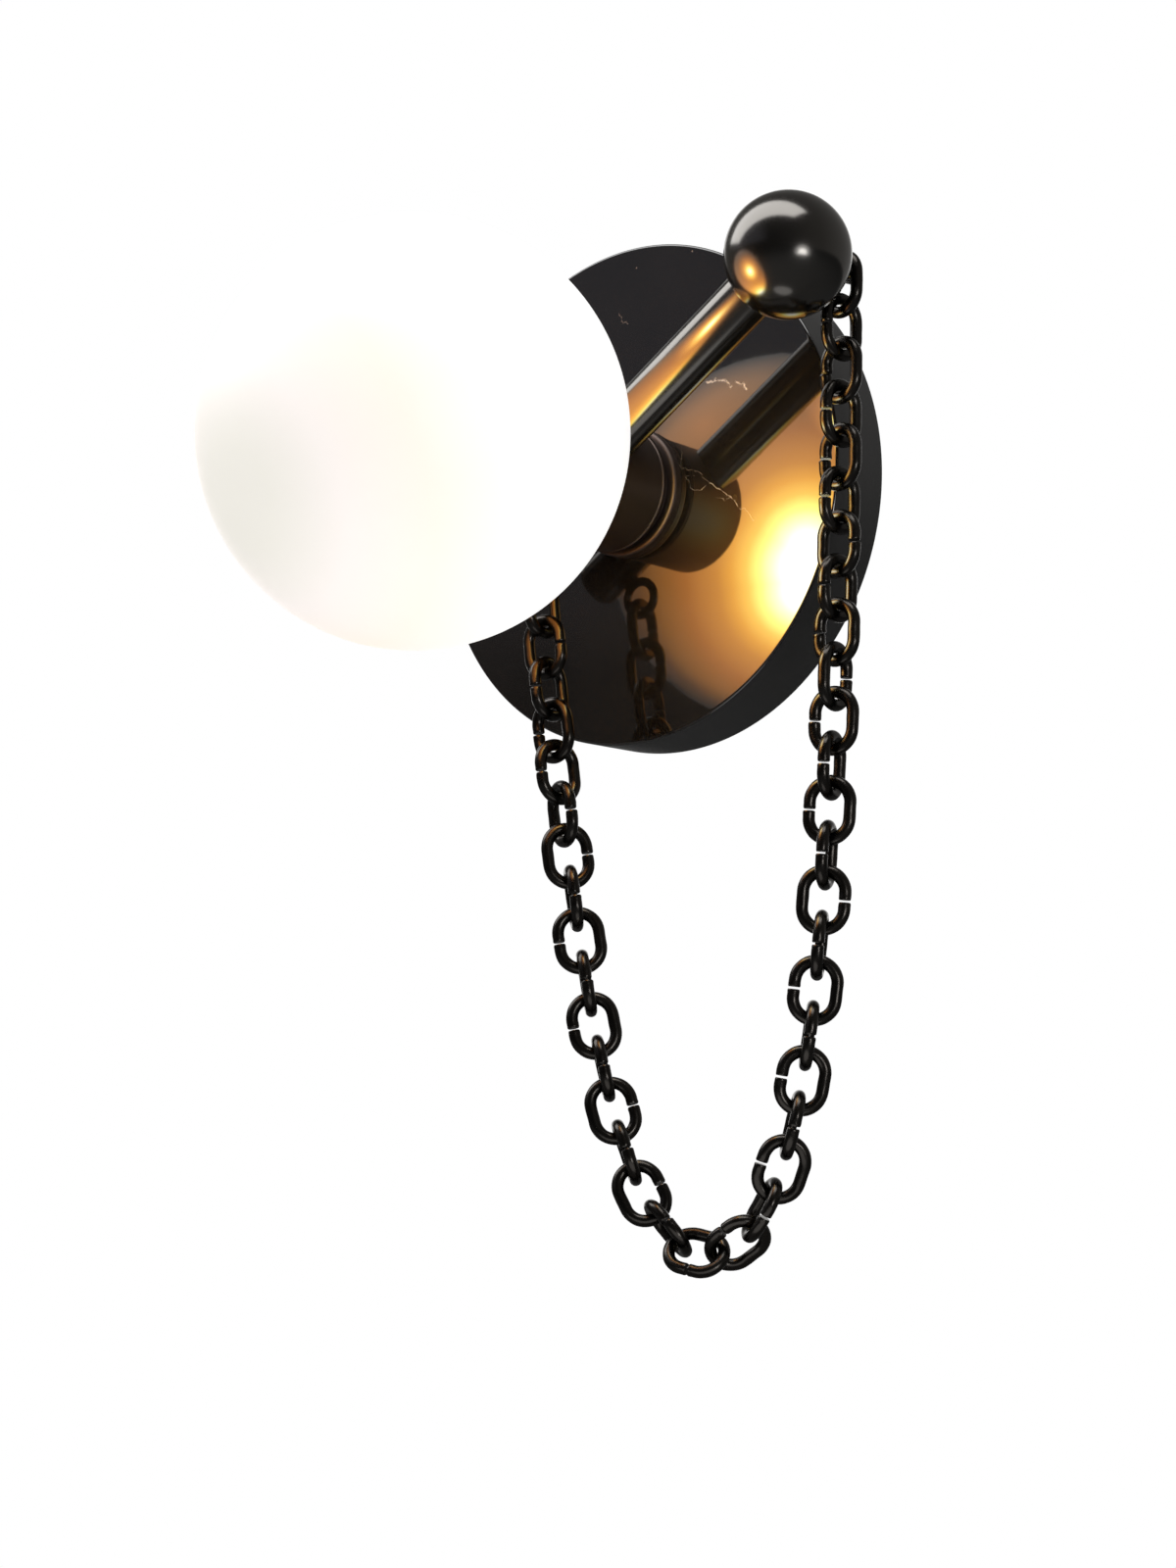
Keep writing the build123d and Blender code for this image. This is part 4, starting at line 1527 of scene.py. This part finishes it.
# ------------------------------------------------------------------ studio
@dataclass(frozen=True)
class Camera:
    """The photograph's view of the light: its place in metres, and its lens in millimetres."""

    place: Triple = (0.6903, -0.8865, -0.2874)
    forward: Triple = (-0.6319, 0.7585, 0.1593)
    right: Triple = (0.765, 0.6434, -0.0294)
    lens: float = 69.39
    sensor: float = 36.0
    nearest: float = 0.01

    def directions(self) -> tuple[Array, Array, Array]:
        """Right, up and forward as exact unit vectors at right angles."""
        forward = unit(self.forward)
        right = unit(np.array(self.right) - np.dot(self.right, forward) * forward)
        return right, np.cross(right, forward), forward

    def build(self) -> None:
        """Adds the camera to the scene."""
        right, up, forward = self.directions()
        data = bpy.data.cameras.new("photo_camera")
        data.sensor_fit = "VERTICAL"
        data.sensor_height = self.sensor
        data.lens = self.lens
        data.clip_start = self.nearest
        camera = bpy.data.objects.new("photo_camera", data)
        rotation = Matrix(np.stack([right, up, -forward], 1).tolist()).to_4x4()
        camera.matrix_world = Matrix.Translation(self.place) @ rotation
        bpy.context.scene.collection.objects.link(camera)
        bpy.context.scene.camera = camera

    def turned(self, parts: Sequence[float]) -> Array:
        """A vector in the room from its parts along the camera's right, up and back."""
        right, up, forward = self.directions()
        return parts[0] * right + parts[1] * up - parts[2] * forward

    def way(self, parts: Sequence[float]) -> Array:
        """A direction in the room from its parts along the camera's right, up and back."""
        return unit(self.turned(parts))


@dataclass(frozen=True)
class Panel:
    """A soft area light, placed by the camera's right, up and back, in metres and watts."""

    name: str
    offset: Triple
    facing: Triple
    size: tuple[float, float]
    power: float
    across: Triple = (1.0, 0.0, 0.0)
    round_shape: bool = True

    def build(self, camera: Camera, middle: Sequence[float]) -> None:
        """Adds the light.

        Args:
            camera: The camera whose directions place it.
            middle: The point that the offset is measured from, in metres.
        """
        data = bpy.data.lights.new(self.name, "AREA")
        data.shape = "ELLIPSE" if self.round_shape else "RECTANGLE"
        data.size, data.size_y = self.size
        data.energy = self.power
        light = bpy.data.objects.new(self.name, data)
        back = -camera.way(self.facing)
        side = camera.way(self.across)
        side = unit(side - back * (side @ back))
        rotation = Matrix(np.stack([side, np.cross(back, side), back], 1).tolist()).to_4x4()
        place = np.array(middle) + camera.turned(self.offset)
        light.matrix_world = Matrix.Translation(place.tolist()) @ rotation
        light.visible_camera = False
        bpy.context.scene.collection.objects.link(light)


@dataclass(frozen=True)
class Studio:
    """A pale floor, a white surround, a long panel overhead, a small hazy lamp and a low card.

    Each range is a start and a gain: how far a direction's part is above the start, times the
    gain. The floor's mirrored tone is what polished pieces see of it.
    """

    middle: Triple = (0.100, -0.061, 0.061)
    room: tuple[Stop, ...] = (
        (0.00, (0.036, 0.035, 0.034)),
        (0.20, (0.072, 0.069, 0.066)),
        (0.35, (0.100, 0.096, 0.090)),
        (0.60, (0.132, 0.127, 0.120)),
        (1.00, (0.250, 0.245, 0.240)),
    )
    high_range: tuple[float, float] = (0.17, 14.0)
    aside_way: Triple = (-0.63, -0.76, 0.20)
    aside_range: tuple[float, float] = (0.75, 6.0)
    lift: Triple = (0.095, 0.098, 0.118)
    card: Triple = (1.20, 1.19, 1.17)
    card_range: tuple[float, float] = (0.86, 14.0)
    below: Triple = (0.45, 0.43, 0.42)
    below_way: Triple = (0.04, -0.25, -0.97)
    below_range: tuple[float, float] = (0.90, 10.0)
    fill: Triple = (0.36, 0.36, 0.36)
    white: Triple = (1.0, 1.0, 1.0)
    floor: float = -0.44
    floor_half: float = 6.0
    floor_tone: float = 0.80
    floor_mirrored: float = 0.12
    floor_roughness: float = 0.9
    panels: tuple[Panel, ...] = (
        Panel(
            name="overhead_panel",
            offset=(-0.489, 1.076, 0.010),
            facing=(0.315, -0.882, 0.351),
            size=(2.72, 0.81),
            power=26.0,
            across=(0.723, 0.462, 0.513),
            round_shape=False,
        ),
        Panel(
            name="round_lamp",
            offset=(0.632, -0.178, 1.567),
            facing=(-0.372, 0.105, -0.922),
            size=(0.48, 0.48),
            power=4.8,
        ),
        Panel(
            name="round_lamp_haze",
            offset=(0.632, -0.178, 1.567),
            facing=(-0.372, 0.105, -0.922),
            size=(0.85, 0.85),
            power=2.4,
        ),
        Panel(
            name="low_card",
            offset=(-0.052, -0.345, 0.090),
            facing=(0.073, 0.943, -0.339),
            size=(0.17, 0.11),
            power=0.035,
        ),
    )

    def surround(self, camera: Camera) -> None:
        """White to the eye, a soft fill on what is matt, and a dim room in what is glossy.

        The room's tone is a ramp on the part of the direction that points at the wall, lighter
        high up on the side that the stone mirrors, with a bright card behind the light and a
        paler floor.

        Args:
            camera: The camera, whose direction is where the card stands.
        """
        world = bpy.data.worlds.new("studio_surround")
        bpy.context.scene.world = world
        world.use_nodes = True
        tree = Tree(world.node_tree)
        tree.nodes.clear()
        path = tree.nodes.new("ShaderNodeLightPath")
        way = tree.nodes.new("ShaderNodeTexCoord").outputs["Generated"]
        room = tree.ramp(tree.line(tree.part_along(way, (0, 1, 0)), 0.5, 0.5), self.room)
        high = tree.above(tree.part_along(way, (0, 0, 1)), *self.high_range)
        aside = tree.above(tree.part_along(way, self.aside_way), *self.aside_range)
        lift = tree.vector("SCALE", self.lift, tree.math("MULTIPLY", high, aside))
        room = tree.vector("ADD", room, lift)
        card = tree.above(tree.part_along(way, camera.directions()[2]), *self.card_range)
        room = tree.mix(card, room, self.card)
        below = tree.above(tree.part_along(way, self.below_way), *self.below_range)
        room = tree.mix(below, room, self.below)
        seen = tree.mix(path.outputs["Is Glossy Ray"], self.fill, room)
        seen = tree.mix(path.outputs["Is Camera Ray"], seen, self.white)
        background = tree.nodes.new("ShaderNodeBackground")
        tree.link(seen, background.inputs["Color"])
        end = tree.nodes.new("ShaderNodeOutputWorld")
        tree.link(background.outputs[0], end.inputs["Surface"])

    def ground(self) -> None:
        """A wide pale floor below the chain: white to the eye, and dim in what is glossy."""
        mesh = bpy.data.meshes.new("studio_floor")
        half = self.floor_half
        corners = [(-half, -half), (half, -half), (half, half), (-half, half)]
        mesh.from_pydata([(x, y, self.floor) for x, y in corners], [], [(0, 1, 2, 3)])
        material, tree, shader = new_material("pale_floor")
        shader.inputs["Base Color"].default_value = (*[self.floor_tone] * 3, 1.0)
        shader.inputs["Roughness"].default_value = self.floor_roughness
        glow = tree.nodes.new("ShaderNodeEmission")
        glow.inputs["Color"].default_value = (*self.white, 1.0)
        dim = tree.nodes.new("ShaderNodeBsdfDiffuse")
        dim.inputs["Color"].default_value = (*[self.floor_mirrored] * 3, 1.0)
        path = tree.nodes.new("ShaderNodeLightPath")
        lit = tree.choose(path.outputs["Is Glossy Ray"], shader.outputs[0], dim.outputs[0])
        lit = tree.choose(path.outputs["Is Camera Ray"], lit, glow.outputs[0])
        tree.link(lit, tree.nodes["Material Output"].inputs["Surface"])
        mesh.materials.append(material)
        floor = bpy.data.objects.new("studio_floor", mesh)
        bpy.context.scene.collection.objects.link(floor)

    def build(self, camera: Camera) -> None:
        """Adds the surround, the floor and the lights.

        Args:
            camera: The camera whose directions place the lights.
        """
        self.surround(camera)
        self.ground()
        for panel in self.panels:
            panel.build(camera, self.middle)
        view = bpy.context.scene.view_settings
        view.view_transform = "Standard"
        view.look = "None"


def main() -> None:
    logging.basicConfig(level=logging.INFO, format="%(name)s %(message)s")
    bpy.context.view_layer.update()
    camera = Camera()
    camera.build()
    Studio().build(camera)
    finishes = Finishes(NodeGroups())
    finishes.dress_frame()
    bar = CrossBar()
    chain = WireChain(eye_centre=tuple(bar.eye_centre()), ball_centre=tuple(bar.ball_centre()))
    for assembly in (Backplate(), Hub(), Globe(), bar, chain):
        assembly.build(finishes)
        LOG.info("%s is built", type(assembly).__name__)
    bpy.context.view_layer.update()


if __name__ == "__main__":
    main()
